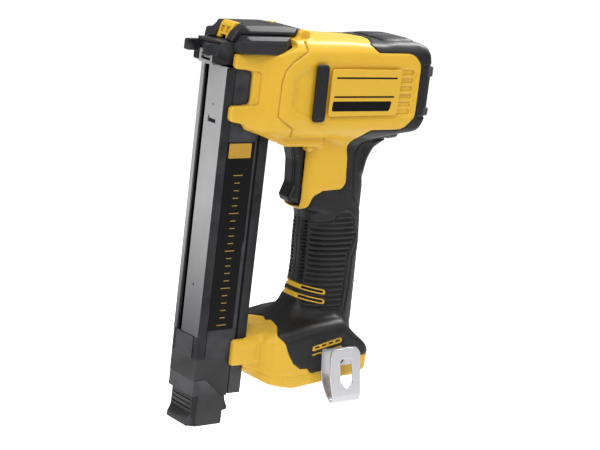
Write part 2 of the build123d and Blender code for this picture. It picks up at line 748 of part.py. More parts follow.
def idler_gear():
    bore = IDLER_SHAFT_R + SHAFT_GAP
    wheel = gear(IDLER, IDLER_T, *FIRST_MESH, 5, bore)
    return wheel + gear(IDLER, PINION_T, 13.9, 21, 0, bore)


def idler_shaft():
    return cyl_y(*IDLER, IDLER_SHAFT_R, 8.5, FRAME_OUT)


def lifter_gear():
    return gear(LIFT, LIFT_T, 15, 21, 4.5, LIFT_SHAFT_R)


def lifter_wheel():
    wheel = tube_y(*LIFT, 14.5, LIFT_SHAFT_R, -2.6, 3.4)
    for x, z in around(LIFT, 11.8, 3):
        wheel = wheel + cyl_y(x, z, 2.4, -9, -2)
    return wheel


def lifter_shaft():
    return mid_cyl(*LIFT, LIFT_SHAFT_R, FRAME_OUT)


# ---- electronics in the foot ----
def control_board():
    board = mid_box(84, 142, 24, -88, -86.4) + box(92, 106, -12, -2, -86.5, -78)
    return board + box(112, 124, 2, 14, -86.5, -80) + cyl_z(130, -14, 4, -86.5, -74)


def battery_terminals():
    block = mid_box(70, 84, 22, -106, -99.1)
    for k in range(5):
        block = block + box(83.5, 97, -16.4 + 8 * k, -15.6 + 8 * k, -105.5, -100.5)
    return block


# ---- belt hook: one bent strip, screwed to the left side of the foot ----
HOOK_T = 1.6
HOOK_IN = -FOOT_HW - 0.05             # y of the face against the foot
HOOK_SECTION = [
    (HOOK_IN, -84), (HOOK_IN, -111.5, 3), (HOOK_IN - 4.6, -126.5, 4.5), (-52.0, -126.5, 4.5),
    (-50.6, -79), (-50.6 + HOOK_T, -79), (-52.0 + HOOK_T + 0.2, -124.9, 2.9),
    (HOOK_IN - 5.2, -124.9, 2.9), (HOOK_IN - HOOK_T, -111.5, 2), (HOOK_IN - HOOK_T, -84),
]
HOOK_SIDE = [
    (111, -86, 3), (115, -79, 3), (135, -79.5, 5), (138.5, -86, 4), (143, -124, 2),
    (141, -130), (117, -130), (113.4, -112, 2),
]
HOOK_WINDOW = [
    (119.5, -92, 1.5), (129, -89, 2.5), (132.5, -100, 6), (134.5, -112, 3), (130, -117, 3),
    (126, -114, 1), (127.5, -108, 2), (119, -101, 2),
]


def belt_hook():
    hook = prism_x(HOOK_SECTION, 105, 150) & prism(HOOK_SIDE, -60, -38)
    hook -= prism(HOOK_WINDOW, -56, -45)
    return hook - cyl_y(*HOOK_SCREW, 2.15, -45, -36)


def belt_hook_screw():
    screw = cyl_y(*HOOK_SCREW, 1.95, -41, -30)
    screw = screw + cyl_y(*HOOK_SCREW, 3.9, -42.2, HOOK_IN - HOOK_T)
    return screw - square_socket(*HOOK_SCREW, 1.1, -43, -40.8)


save_housing()
# Every other piece is saved under its function's name.
for piece in (
    housing_screws, side_pad_left, side_pad_right, name_plate_left, name_plate_right,
    front_cover, work_light_lenses, jam_door, jam_door_pin, jam_latch, jam_latch_pin,
    nose_block, nose_plate, contact_trip,
    magazine_body, magazine_front_strip, magazine_label, magazine_end_cap, magazine_track,
    magazine_pull, magazine_latch, magazine_latch_pin, magazine_latch_spring,
    staple_pusher, pusher_spring,
    trigger, trigger_pin, trigger_spring, trigger_switch,
    drive_frame, guide_rods, driver_carriage, driver_blade, drive_bumper, drive_springs,
    motor_stator, motor_rotor, motor_shaft, motor_fan, motor_bearings,
    idler_gear, idler_shaft, lifter_gear, lifter_wheel, lifter_shaft,
    control_board, battery_terminals, belt_hook, belt_hook_screw,
):
    save(piece.__name__, piece())
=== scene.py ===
"""Cordless stapler with an upright magazine: looks built over its CAD pieces.

The row frame is in metres, +Z up, with the nose towards -X and the tool's left side towards -Y.
Shapes are drawn in millimetres: x = 0 at the magazine shell's front face, y = 0 at the split
plane, z = 0 at 141 below the shell's top. An outline lists (x, z) corners, each with an optional
corner radius, unless a comment names other axes.
Most pieces are signed distance fields (negative inside) on a grid, turned into meshes.
"""
import math
from functools import reduce
import bpy
import numpy as np
import openvdb
from mathutils import Matrix, Vector


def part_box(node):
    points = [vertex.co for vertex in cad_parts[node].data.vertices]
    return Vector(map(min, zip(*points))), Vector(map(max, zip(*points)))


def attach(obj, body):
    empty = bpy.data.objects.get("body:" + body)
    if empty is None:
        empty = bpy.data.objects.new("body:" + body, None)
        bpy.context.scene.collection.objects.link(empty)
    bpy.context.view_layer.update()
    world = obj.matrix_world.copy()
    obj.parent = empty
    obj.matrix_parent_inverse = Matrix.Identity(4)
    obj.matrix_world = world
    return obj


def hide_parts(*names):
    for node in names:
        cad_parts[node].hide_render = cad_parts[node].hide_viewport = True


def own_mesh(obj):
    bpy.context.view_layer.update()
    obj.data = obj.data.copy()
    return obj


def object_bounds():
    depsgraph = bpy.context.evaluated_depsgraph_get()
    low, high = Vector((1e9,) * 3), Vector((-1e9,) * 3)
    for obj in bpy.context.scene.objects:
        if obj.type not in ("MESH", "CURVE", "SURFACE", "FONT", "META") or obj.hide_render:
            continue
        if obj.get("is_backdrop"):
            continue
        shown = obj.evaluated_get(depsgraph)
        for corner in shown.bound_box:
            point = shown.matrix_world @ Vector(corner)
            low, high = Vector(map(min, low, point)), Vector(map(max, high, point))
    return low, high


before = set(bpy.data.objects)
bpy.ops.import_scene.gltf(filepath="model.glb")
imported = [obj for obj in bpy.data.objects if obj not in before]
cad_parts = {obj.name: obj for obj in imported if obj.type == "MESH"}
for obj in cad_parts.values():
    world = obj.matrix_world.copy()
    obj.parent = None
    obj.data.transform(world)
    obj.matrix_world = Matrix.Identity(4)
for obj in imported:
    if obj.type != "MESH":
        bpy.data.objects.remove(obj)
cad_lo, cad_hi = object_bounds()
COARSE = 1.0  # scales every grid's cell
F = np.float32

shell_lo, shell_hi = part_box("magazine_body")
ORIGIN_X = shell_lo.x * 1000.0
ORIGIN_Z = shell_hi.z * 1000.0 - 141.0

HALF_WIDTH = 38.0            # barrel and foot, from the split plane
NOSE_HALF_WIDTH = 22.0
HOOK_SCREW = (125.0, -92.0)  # x, z
TRIGGER_PIN = (89, 78)       # x, z


def row_point(x, y, z):
    """Drawing millimetres to the row frame's metres."""
    return (x + ORIGIN_X) / 1000, y / 1000, (z + ORIGIN_Z) / 1000


# ------------------------------------------------------------------ outlines
def round_corners(points, segments=5):
    """Replaces each corner that has a radius by an arc."""
    corners = [(float(p[0]), float(p[1]), float(p[2]) if len(p) > 2 else 0.0) for p in points]
    out, count = [], len(corners)
    for i in range(count):
        before, corner, after = corners[i - 1], corners[i], corners[(i + 1) % count]
        if corner[2] <= 0:
            out.append(corner[:2])
            continue
        tip = np.array(corner[:2])
        to_before, to_after = np.array(before[:2]) - tip, np.array(after[:2]) - tip
        len_before, len_after = np.hypot(*to_before), np.hypot(*to_after)
        to_before, to_after = to_before / len_before, to_after / len_after
        half = math.acos(max(-1.0, min(1.0, float(to_before @ to_after)))) / 2
        if half > math.pi / 2 - 0.02:  # nearly straight
            out.append(corner[:2])
            continue
        tangent = min(corner[2] / math.tan(half), 0.48 * min(len_before, len_after))
        radius = tangent * math.tan(half)
        inward = (to_before + to_after) / np.hypot(*(to_before + to_after))
        mid = tip + inward * (radius / math.sin(half))
        start = tip + to_before * tangent - mid
        end = tip + to_after * tangent - mid
        first, last = math.atan2(start[1], start[0]), math.atan2(end[1], end[0])
        turn = (last - first + math.pi) % (2 * math.pi) - math.pi
        for k in range(segments + 1):
            angle = first + turn * k / segments
            out.append((mid[0] + radius * math.cos(angle), mid[1] + radius * math.sin(angle)))
    return out


def rectangle(x0, x1, z0, z1, radius=0):
    return [(x0, z0, radius), (x1, z0, radius), (x1, z1, radius), (x0, z1, radius)]


def edge_distance(U, V, edges):
    nearest = np.full(np.broadcast(U, V).shape, 1e9, F)
    for (ax, ay), (bx, by) in edges:
        ex, ey = bx - ax, by - ay
        wx, wy = U - F(ax), V - F(ay)
        t = np.clip((wx * F(ex) + wy * F(ey)) / F(ex * ex + ey * ey), 0, 1)
        dx, dy = wx - t * F(ex), wy - t * F(ey)
        np.minimum(nearest, dx * dx + dy * dy, out=nearest)
    return np.sqrt(nearest)


def polygon_field(u, v, points):
    """Signed distance to a closed outline."""
    ring = round_corners(points)
    U, V = u[:, None].astype(F), v[None, :].astype(F)
    edges = [(a, b) for a, b in zip(ring, ring[1:] + ring[:1])
             if (b[0] - a[0]) * (b[0] - a[0]) + (b[1] - a[1]) * (b[1] - a[1]) >= 1e-12]
    inside = np.zeros((len(u), len(v)), bool)
    for (ax, ay), (bx, by) in edges:
        ex, ey = bx - ax, by - ay
        if abs(ey) > 1e-9:
            inside ^= ((V < ay) != (V < by)) & (U < (V - F(ay)) * F(ex / ey) + F(ax))
    return np.where(inside, -1, 1).astype(F) * edge_distance(U, V, edges)


def line_distance(u, v, points):
    """Distance to an open line."""
    return edge_distance(u[:, None], v[None, :], list(zip(points, points[1:])))


# ------------------------------------------------------------------ distance fields
def meet(*fields):
    """Intersection with sharp edges."""
    return reduce(np.maximum, fields)


def join(*fields):
    """Union with sharp corners."""
    return reduce(np.minimum, fields)


def round_meet(a, b, r):
    """Intersection with a rounded edge."""
    u, v = np.maximum(a + r, 0), np.maximum(b + r, 0)
    return np.minimum(-r, np.maximum(a, b)) + np.sqrt(u * u + v * v)


def round_join(a, b, r):
    """Union with a filleted corner."""
    return -round_meet(-a, -b, r)


def cut(a, b, r=0.0):
    """a without b, the new edge rounded by r."""
    return np.maximum(a, -b) if r == 0 else round_meet(a, -b, r)


def slab(v, low, high):
    return np.maximum(low - v, v - high)


def ease(t):
    """Smooth step from 0 to 1."""
    t = np.clip(t, 0, 1)
    return t * t * (3 - 2 * t)


class Grid:
    """Sample points of a box; the methods give fields on it."""

    def __init__(self, x_range, y_range, z_range, cell):
        self.cell = cell * COARSE
        ranges = (x_range, y_range, z_range)
        self.corner = np.array([low for low, _ in ranges], float)
        self.x, self.y, self.z = (np.arange(low, high + self.cell, self.cell).astype(F)
                                  for low, high in ranges)
        self.shape = (len(self.x), len(self.y), len(self.z))
        self.Y = self.y[None, :, None]
        self.axes = self.x[:, None, None], np.abs(self.Y), self.z[None, None, :]

    def side(self, points):
        return polygon_field(self.x, self.z, points)[:, None, :]

    def plan(self, points):
        """Outline of (x, y) corners."""
        return polygon_field(self.x, self.y, points)[:, :, None]

    def end(self, points):
        """Outline of (y, z) corners."""
        return polygon_field(self.y, self.z, points)[None, :, :]

    def side_line(self, points):
        return line_distance(self.x, self.z, points)[:, None, :]

    def rod(self, x, z, radius):
        """Endless rod along y."""
        X, _, Z = self.axes
        return np.sqrt((X - x) ** 2 + (Z - z) ** 2) - radius

    def box(self, x_range, y_range, z_range, radius=0.0, both_sides=True):
        """Box whose y range counts from the split plane, on both sides of it or as signed y."""
        X, abs_y, Z = self.axes
        spans = [slab(X, *x_range), slab(abs_y if both_sides else self.Y, *y_range),
                 slab(Z, *z_range)]
        if radius == 0:
            return meet(*spans)
        spans = [span + radius for span in spans]
        outside = np.sqrt(sum(np.maximum(span, 0) ** 2 for span in spans))
        return outside + np.minimum(meet(*spans), 0) - radius


# ------------------------------------------------------------------ objects
def surface(grid, field, adapt):
    """Mesh of a field's zero level, closed where the field meets the grid's border."""
    field = np.array(np.broadcast_to(field, grid.shape), F)
    band = 2 * grid.cell
    np.clip(field, -band, band, out=field)
    for axis in range(3):
        border = [slice(None)] * 3
        for end in (0, -1):
            border[axis] = end
            field[tuple(border)] = np.maximum(field[tuple(border)], grid.cell * 0.6)
    volume = openvdb.FloatGrid(float(band))
    volume.copyFromArray(np.ascontiguousarray(field))
    points, tris, quads = volume.convertToPolygons(0.0, adapt)
    return (points.astype(float) * grid.cell + grid.corner,
            tris.astype(np.int64).reshape(-1, 3), quads.astype(np.int64).reshape(-1, 4))


def drop_crumbs(points, tris, quads, least=60):
    """Keeps the connected shells with at least this many vertices."""
    count = len(points)
    label = np.arange(count)
    edges = np.concatenate([tris[:, [0, 1]], tris[:, [1, 2]],
                            quads[:, [0, 1]], quads[:, [1, 2]], quads[:, [2, 3]]])
    for _ in range(400):
        lowest = np.minimum(label[edges[:, 0]], label[edges[:, 1]])
        new = label.copy()
        np.minimum.at(new, edges[:, 0], lowest)
        np.minimum.at(new, edges[:, 1], lowest)
        new = new[new]
        new = new[new]
        if np.array_equal(new, label):
            break
        label = new
    keep = np.bincount(label, minlength=count)[label] >= least
    index = np.cumsum(keep) - 1
    return points[keep], index[tris[keep[tris[:, 0]]]], index[quads[keep[quads[:, 0]]]]


def link_object(name, mesh):
    piece = bpy.data.objects.new(name, mesh)
    bpy.context.scene.collection.objects.link(piece)
    return piece


def register(piece, body, replaces=None):
    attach(piece, body)
    if replaces:
        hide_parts(replaces)


def round_edges(piece, width_mm, segments, angle):
    bevel = piece.modifiers.new("edge", "BEVEL")
    bevel.width, bevel.segments = width_mm / 1000, segments
    bevel.limit_method, bevel.angle_limit = "ANGLE", math.radians(angle)


def build(name, grid, field, finish, body="tool", replaces=None, adapt=0.0, mirror=False):
    """Smooth-shaded piece from a field; mirror flips it to the other side of the split plane."""
    points, tris, quads = drop_crumbs(*surface(grid, field, adapt))
    if mirror:
        points = points * np.array((1, -1, 1))
        tris, quads = tris[:, ::-1], quads[:, ::-1]
    mesh = bpy.data.meshes.new(name)
    mesh.vertices.add(len(points))
    coords = np.stack(row_point(*points.T), 1)
    mesh.vertices.foreach_set("co", np.ascontiguousarray(coords, F).ravel())
    mesh.loops.add(tris.size + quads.size)
    corners = np.concatenate([tris.ravel(), quads.ravel()])
    mesh.loops.foreach_set("vertex_index", corners.astype(np.int32))
    mesh.polygons.add(len(tris) + len(quads))
    starts = np.concatenate([np.arange(len(tris)) * 3, tris.size + np.arange(len(quads)) * 4])
    mesh.polygons.foreach_set("loop_start", starts.astype(np.int32))
    mesh.update(calc_edges=True)
    mesh.validate()
    mesh.polygons.foreach_set("use_smooth", np.full(len(mesh.polygons), True, bool))
    piece = link_object(name, mesh)
    mesh.materials.append(finish)
    register(piece, body, replaces)


def build_pair(stem, grid, field, finish, replaces=(None, None)):
    """A left piece and its mirror image."""
    for side, mirror, replaced in (("left", False, replaces[0]), ("right", True, replaces[1])):
        build(f"{stem}_{side}", grid, field, finish, replaces=replaced, mirror=mirror)


def plate(name, outlines, y0, y1, finish, replaces=None, bevel=0.0):
    """Flat pieces from outlines, extruded from y0 to y1."""
    verts, faces = [], []
    for points in outlines:
        ring = round_corners(points, 6)
        if sum(a[0] * b[1] - b[0] * a[1] for a, b in zip(ring, ring[1:] + ring[:1])) < 0:
            ring = ring[::-1]
        count, base = len(ring), len(verts)
        for y in (min(y0, y1), max(y0, y1)):
            verts += [row_point(x, y, z) for x, z in ring]
        faces.append([base + i for i in range(count)])
        faces.append([base + count + i for i in reversed(range(count))])
        for i in range(count):
            j = (i + 1) % count
            faces.append([base + j, base + i, base + count + i, base + count + j])
    mesh = bpy.data.meshes.new(name)
    mesh.from_pydata(verts, [], faces)
    mesh.validate()
    mesh.update()
    piece = link_object(name, mesh)
    mesh.materials.append(finish)
    if bevel:
        round_edges(piece, bevel, segments=3, angle=40)
    register(piece, "tool", replaces)


# ------------------------------------------------------------------ materials
def linear(code):
    """Hex sRGB colour to linear RGBA."""
    out = []
    for i in (1, 3, 5):
        v = int(code[i:i + 2], 16) / 255
        out.append(v / 12.92 if v <= 0.04045 else ((v + 0.055) / 1.055) ** 2.4)
    return (*out, 1.0)


def add_node(tree, kind, inputs=None, **settings):
    """Adds a node; each input is linked to a socket or set to a plain value."""
    node = tree.nodes.new("ShaderNode" + kind)
    for key, value in settings.items():  # first, as they choose the inputs in use
        setattr(node, key, value)
    for key, value in (inputs or {}).items():
        if isinstance(value, bpy.types.NodeSocket):
            tree.links.new(value, node.inputs[key])
        else:
            node.inputs[key].default_value = value
    return node


def remap(tree, value, source=(0, 1), to=(0, 1)):
    return add_node(tree, "MapRange", {
        "Value": value, "From Min": source[0], "From Max": source[1],
        "To Min": to[0], "To Max": to[1]}).outputs["Result"]


def mix_color(tree, factor, a, b):
    inputs = {"Factor": factor, "A": a, "B": b}
    return add_node(tree, "Mix", inputs, data_type="RGBA").outputs["Result"]


def material(name, color, dark, rough, grain, bump, bump_mm=0.05, metal=0.0, spec=0.5, coat=0.0,
             stretch=(1, 1, 1), voronoi=False, mottling=60.0, mix=0.25,
             wear_and_highlight=None, wear_and_highlight_amount=0.35, hollow_shade=None, painted_reflection=None):
    """Mottled, finely grained surface.

    rough: roughness range over the grain. grain, mottling: texture scales. mix: most of the
    dark colour let in. wear, wear_and_highlight_amount: lighter colour on raised edges and its
    strength, partly rubbed edges and partly a painted highlight. cavity: painted shade in
    hollows.
    fade: painted reflection, (row z, row z, colour): the colour at the first height, gone by the
    second.
    """
    result = bpy.data.materials.new(name)
    result.use_nodes = True
    tree = result.node_tree
    place = add_node(tree, "TexCoord").outputs["Object"]
    stretched = add_node(tree, "Mapping", {"Scale": stretch, "Vector": place}).outputs["Vector"]
    patches = add_node(tree, "TexNoise", {
        "Scale": mottling, "Detail": 4, "Vector": place}).outputs["Fac"]
    if voronoi:
        fine = add_node(tree, "TexVoronoi", {
            "Scale": grain, "Vector": stretched}).outputs["Distance"]
    else:
        fine = add_node(tree, "TexNoise", {
            "Scale": grain, "Detail": 3, "Vector": stretched}).outputs["Fac"]
    out = mix_color(tree, remap(tree, patches, (0.3, 0.7), (0, mix)), linear(color), linear(dark))
    # lighter raised edges: partly rubbed edges, partly a painted highlight
    if wear_and_highlight:
        convex = add_node(tree, "NewGeometry").outputs["Pointiness"]
        edge = remap(tree, convex, (0.515, 0.60), (0, wear_and_highlight_amount))
        worn_and_lit_edges = add_node(tree, "Math", {0: edge, 1: patches}, operation="MULTIPLY")
        out = mix_color(tree, worn_and_lit_edges.outputs["Value"], out, linear(wear_and_highlight))
    # painted shade: hollows darkened
    if hollow_shade:
        convex = add_node(tree, "NewGeometry").outputs["Pointiness"]
        hollow = remap(tree, convex, (0.497, 0.44), (0, 0.85))
        out = mix_color(tree, hollow, out, linear(hollow_shade))
    # painted reflection: a colour laid on by height
    if painted_reflection:
        position = add_node(tree, "NewGeometry").outputs["Position"]
        height = add_node(tree, "SeparateXYZ", {"Vector": position}).outputs["Z"]
        out = mix_color(tree, remap(tree, height, painted_reflection[:2]), linear(painted_reflection[2]), out)
    roughness = remap(tree, fine, to=rough)
    relief = add_node(tree, "Bump", {
        "Strength": bump, "Distance": bump_mm / 1000, "Height": fine}).outputs["Normal"]
    shader = tree.nodes["Principled BSDF"].inputs
    for key, socket in (("Base Color", out), ("Roughness", roughness), ("Normal", relief)):
        tree.links.new(socket, shader[key])
    for key, value in (("Metallic", metal), ("Specular IOR Level", spec),
                       ("Coat Weight", coat), ("Coat Roughness", 0.25)):
        shader[key].default_value = value
    return result


# In the materials below, the lighter colour on raised edges is partly rubbed edges and partly a
# painted highlight, and the dark colour in hollows is painted shade.
YELLOW = material(
    "yellow_moulded", "#EEBE36", "#E5AF2A", rough=(0.34, 0.48), grain=1500, bump=0.18,
    spec=0.4, coat=0.05, wear_and_highlight="#FFE79A", wear_and_highlight_amount=0.5, hollow_shade="#9A6A10")
RUBBER = material(
    "soft_grip_rubber", "#19191B", "#121213", rough=(0.40, 0.56), grain=2200, bump=0.35,
    bump_mm=0.08, spec=0.4, wear_and_highlight="#4A4A4E", wear_and_highlight_amount=0.6, hollow_shade="#030303")
RUBBER_GREY = material(
    "bumper_rubber", "#4A4A4D", "#3A3A3D", rough=(0.5, 0.65), grain=2200, bump=0.3,
    spec=0.4, wear_and_highlight="#77777A")
PLASTIC = material(
    "black_textured_plastic", "#161618", "#101011", rough=(0.36, 0.50), grain=2600, bump=0.3,
    bump_mm=0.06, spec=0.45, voronoi=True, wear_and_highlight="#6A6A70", wear_and_highlight_amount=0.7)
COVER = material(
    "dark_grey_plastic", "#2A2A2D", "#202023", rough=(0.38, 0.52), grain=2400, bump=0.28,
    spec=0.4, voronoi=True, wear_and_highlight="#77777C", wear_and_highlight_amount=0.5, hollow_shade="#050505")
SHELL = material(
    "black_anodised", "#070708", "#040405", rough=(0.30, 0.44), grain=1400, bump=0.12,
    bump_mm=0.03, spec=0.14, stretch=(1, 1, 0.05), wear_and_highlight="#6A6A70", wear_and_highlight_amount=0.7)
BLACK_STEEL = material(
    "blackened_steel", "#0C0C0D", "#141416", rough=(0.3, 0.48), grain=800, bump=0.15,
    bump_mm=0.03, metal=0.2, spec=0.25, wear_and_highlight="#8A8A90", wear_and_highlight_amount=0.6)
STEEL = material(
    "bare_steel", "#B9BABD", "#96979B", rough=(0.22, 0.4), grain=900, bump=0.12,
    bump_mm=0.02, metal=1.0, stretch=(1, 1, 0.08), wear_and_highlight="#E8E8EA")
# painted reflection: the strip turns dark grey towards its bottom
STRIP = material(
    "brushed_strip", "#D2D2D3", "#B8B8BB", rough=(0.38, 0.55), grain=1600, bump=0.2,
    bump_mm=0.02, metal=0.7, stretch=(1.0, 1.0, 0.012), mottling=25, mix=0.6,
    painted_reflection=(-0.235, -0.11, "#4A4A4D"))
BRIGHT = material(
    "bright_plated_steel", "#CFCFD3", "#BDBDC2", rough=(0.3, 0.36), grain=300, bump=0.02,
    bump_mm=0.01, metal=0.85, spec=0.4, mottling=25)
ALLOY = material(
    "cast_alloy", "#9C9DA0", "#808184", rough=(0.4, 0.6), grain=1200, bump=0.35,
    bump_mm=0.08, metal=0.85, voronoi=True)
COPPER = material(
    "copper_winding", "#B4612B", "#8A4318", rough=(0.3, 0.45), grain=700, bump=0.6,
    bump_mm=0.2, metal=0.9, stretch=(1, 6, 1))
BOARD = material(
    "solder_mask", "#1B5A2C", "#103D1C", rough=(0.25, 0.4), grain=700, bump=0.2, mix=0.6)
LENS = material(
    "clear_lens", "#3A3D41", "#2B2D30", rough=(0.08, 0.16), grain=400, bump=0.05)
GOLD = material(
    "printed_gold", "#B08D3E", "#8E7030", rough=(0.35, 0.5), grain=2000, bump=0.1, metal=0.3)
INK = material(
    "printed_black", "#0A0A0B", "#101011", rough=(0.4, 0.55), grain=2400, bump=0.1, spec=0.15)
LABEL = material(
    "yellow_film", "#C99A2B", "#BA8B20", rough=(0.35, 0.5), grain=1800, bump=0.1)

# ------------------------------------------------------------------ the tool's outer form
BARREL_SECTION = [  # (y, z, radius)
    (-38, 105, 6), (-38, 147.5, 5), (-36.0, 157.5, 4), (-28.5, 164.5, 9), (-12, 168.2, 20),
    (12, 168.2, 20), (28.5, 164.5, 9), (36.0, 157.5, 4), (38, 147.5, 5), (38, 105, 6),
    (36.0, 95.5, 7), (26, 87.5, 9), (10, 86.5, 0), (-10, 86.5, 0), (-26, 87.5, 9),
    (-36.0, 95.5, 7)]
BARREL_SIDE = [
    (19.5, 93, 4), (19.5, 161, 3), (50, 167.4, 8), (98, 167.2, 30), (120, 165.2, 30),
    (142, 164.8, 12), (155, 167.6, 14), (175, 167.8, 14), (188, 162.0, 12), (195.4, 149, 12),
    (195.4, 106, 14), (184, 93, 12), (152, 86.8, 20), (58, 86.8, 8), (44, 89.5, 6)]
BARREL_PLAN = [(-10, -39, 0), (195.4, -39, 17), (195.4, 39, 17), (-10, 39, 0)]  # (x, y, radius)

# Neck stations from the top down: (z, value)
NECK_FRONT_X = [
    (100, 88), (60, 88.5), (45, 88.4), (35, 88.4), (31.5, 87.4), (28.6, 87.2), (26.8, 89.2),
    (25.2, 94.2), (23.5, 98.2), (18, 99.8), (0, 100.1), (-20, 101.4), (-34, 101.0),
    (-42, 99.2), (-50, 96.4), (-58, 92), (-96, 90)]
NECK_REAR_X = [
    (100, 152), (88, 150), (75, 148.6), (60, 149.8), (45, 152.5), (27, 154.4), (0, 157.2),
    (-20, 157.6), (-38, 158.4), (-60, 158.8), (-96, 158.6)]
NECK_HALF_WIDTH = [
    (100, 19.6), (70, 19.4), (42, 19.0), (10, 18.8), (-15, 19.2), (-36, 19.5), (-50, 20.2),
    (-60, 21), (-96, 22)]
NECK_SQUARENESS = [(100, 3.4), (45, 3.2), (25, 2.7), (-40, 2.6), (-96, 2.6)]  # exponent


def barrel(grid):
    """The cross-section, narrowed towards the nose and trimmed by side and plan."""
    spacing = 0.5
    table_y = np.arange(0, 62, spacing)
    table = polygon_field(table_y, grid.z, BARREL_SECTION)
    field = np.empty(grid.shape, F)
    for i, x in enumerate(grid.x):
        widening = float(ease((x - 21.0) / 29.0))
        half_width = NOSE_HALF_WIDTH + (HALF_WIDTH - NOSE_HALF_WIDTH) * widening
        at = np.clip(np.abs(grid.y) * HALF_WIDTH / half_width / spacing, 0, len(table_y) - 1.001)
        k = at.astype(int)
        part = (at - k)[:, None]
        field[i] = table[k] * (1 - part) + table[k + 1] * part
    field = round_meet(field, grid.side(BARREL_SIDE), 4.0)
    return round_meet(field, grid.plan(BARREL_PLAN), 9.0)


def neck(grid):
    """Handle: superellipse sections between the stations."""
    X, abs_y, Z = grid.axes

    def stations(pairs):
        heights, values = np.array(pairs[::-1], float).T
        return np.interp(grid.z, heights, values).astype(F)

    front, rear = stations(NECK_FRONT_X), stations(NECK_REAR_X)
    half, power = stations(NECK_HALF_WIDTH), stations(NECK_SQUARENESS)
    along = np.abs(X - (front + rear) / 2) / ((rear - front) / 2)
    across = abs_y / half
    ratio = (along ** power + across ** power + 1e-6) ** (1 / power)
    return meet((ratio - 1) * half * 0.95, slab(Z, -97, 100))


def foot(grid):
    side = grid.side([
        (47, -74.5, 6), (62, -70.5, 14), (98, -64.2, 14), (131, -61.5, 10), (163, -90, 4),
        (160, -106, 4), (115, -113, 8), (85, -116, 10), (64, -112.5, 10), (46, -104, 6)])
    plan = grid.plan([(53.5, -38, 26), (162.6, -38, 11), (162.6, 38, 11), (53.5, 38, 26)])
    return round_meet(side, plan, 3.5 + 5.5 * ease((grid.axes[2] + 84) / 12))


def foot_fillet(grid):
    """Fillet radius between neck and foot, larger in front."""
    return 8.0 + 7.0 * ease((104 - grid.axes[0]) / 18)


def tool_body(grid):
    X, abs_y, _ = grid.axes
    body = round_join(barrel(grid), neck(grid), 2.0 + 12.0 * ease((X - 92) / 26))
    web_behind_neck = grid.side([
        (145, 96), (182, 96), (180, 84.4, 3), (169, 83.6, 4), (166, 82.0, 5), (156, 76.5, 9),
        (150, 66, 8), (147, 56), (140, 56)])
    body = round_join(body, round_meet(web_behind_neck, abs_y - 17.2, 6.0), 4.0)
    keel_under_barrel = grid.side([(44, 96), (53, 84.5, 4), (62, 79.8, 6), (98, 79.2), (98, 96)])
    body = round_join(body, round_meet(keel_under_barrel, abs_y - 20.4, 3.0), 3.0)
    toe = grid.side([(44, -73.0, 3), (70, -72, 2), (70, -106, 2), (44, -102, 2)])
    foot_and_toe = round_join(foot(grid), round_meet(toe, abs_y - 20.0, 3.0), 5.0)
    body = round_join(body, foot_and_toe, foot_fillet(grid))
    # arms that clamp the magazine's head, and the bracket low down
    arms = grid.side([
        (3.8, 101.0, 4), (24.4, 97.5, 3), (42.4, 87.4, 4), (50, 84.5, 0), (56, 153.0, 0),
        (3.8, 153.0, 3), (3.8, 141.2, 3), (27.4, 139.6, 3), (27.4, 113.6, 3), (3.8, 112.6, 3)])
    body = round_join(body, round_meet(arms, abs_y - 22.2, 1.6), 5.0)
    body = round_join(body, grid.box((31, 60), (10, 22.3), (-96, -74.5), 3.0), 1.5)
    hinge_ears = grid.side([(56, 158, 0), (74, 158, 0), (69.6, 172.4, 3.4), (60.8, 172.4, 3.4)])
    return round_join(body, round_meet(hinge_ears, slab(abs_y, 18.2, 23.0), 1.8), 2.0)


# ------------------------------------------------------------------ where rubber meets shell
# Side outlines are drawn on the barrel's side plane and carried inwards along lines of sight.
EYE_X, EYE_Z = -773.6, 327.7
EYE_TO_SIDE = 1038.2  # along y, from the eye to the side plane

RUBBER_ZONE = [
    (108, 185), (108.5, 170), (113, 167, 4), (122, 162.5, 6), (129, 158, 4), (176.8, 158.0, 17),
    (174.4, 95.4, 14), (134, 95.2, 4), (127, 89, 6), (123.8, 78, 8), (125.9, 70), (128, 49, 5),
    (124, 43.6, 5), (106, 43.0, 6), (98.5, 38.5, 4), (95.6, 30.2, 5), (91.0, 25.6, 3),
    (60, 24.8), (60, -40), (40, -44), (38, -52), (52, -53.5, 4), (59.5, -60, 5), (61, -68, 3),
    (70, -75, 5), (75, -85, 4), (80.5, -93, 3), (88, -98, 2), (96, -98.5, 1.5),
    (97.5, -101.5, 1.5), (113, -101.5, 3), (118, -98, 2), (150, -92.5), (175, -89), (215, -85),
    (215, 185)]
YELLOW_CROWN = [  # (x, y, radius): tongue of yellow on top of the barrel
    (60, -31.5), (121, -31.5, 4), (129, -25.5, 10), (137, -14, 12), (141.5, -3, 8),
    (141.5, 3, 8), (137, 14, 12), (129, 25.5, 10), (121, 31.5, 4), (60, 31.5)]


def inset_of(y):
    return HALF_WIDTH - min(HALF_WIDTH, abs(float(y)))


def carried_out(grid, inset):
    """The grid's x and z at an inset from the side plane, carried out onto that plane."""
    return (grid.x - inset * (grid.x - EYE_X) / EYE_TO_SIDE,
            grid.z - inset * (grid.z - EYE_Z) / EYE_TO_SIDE)


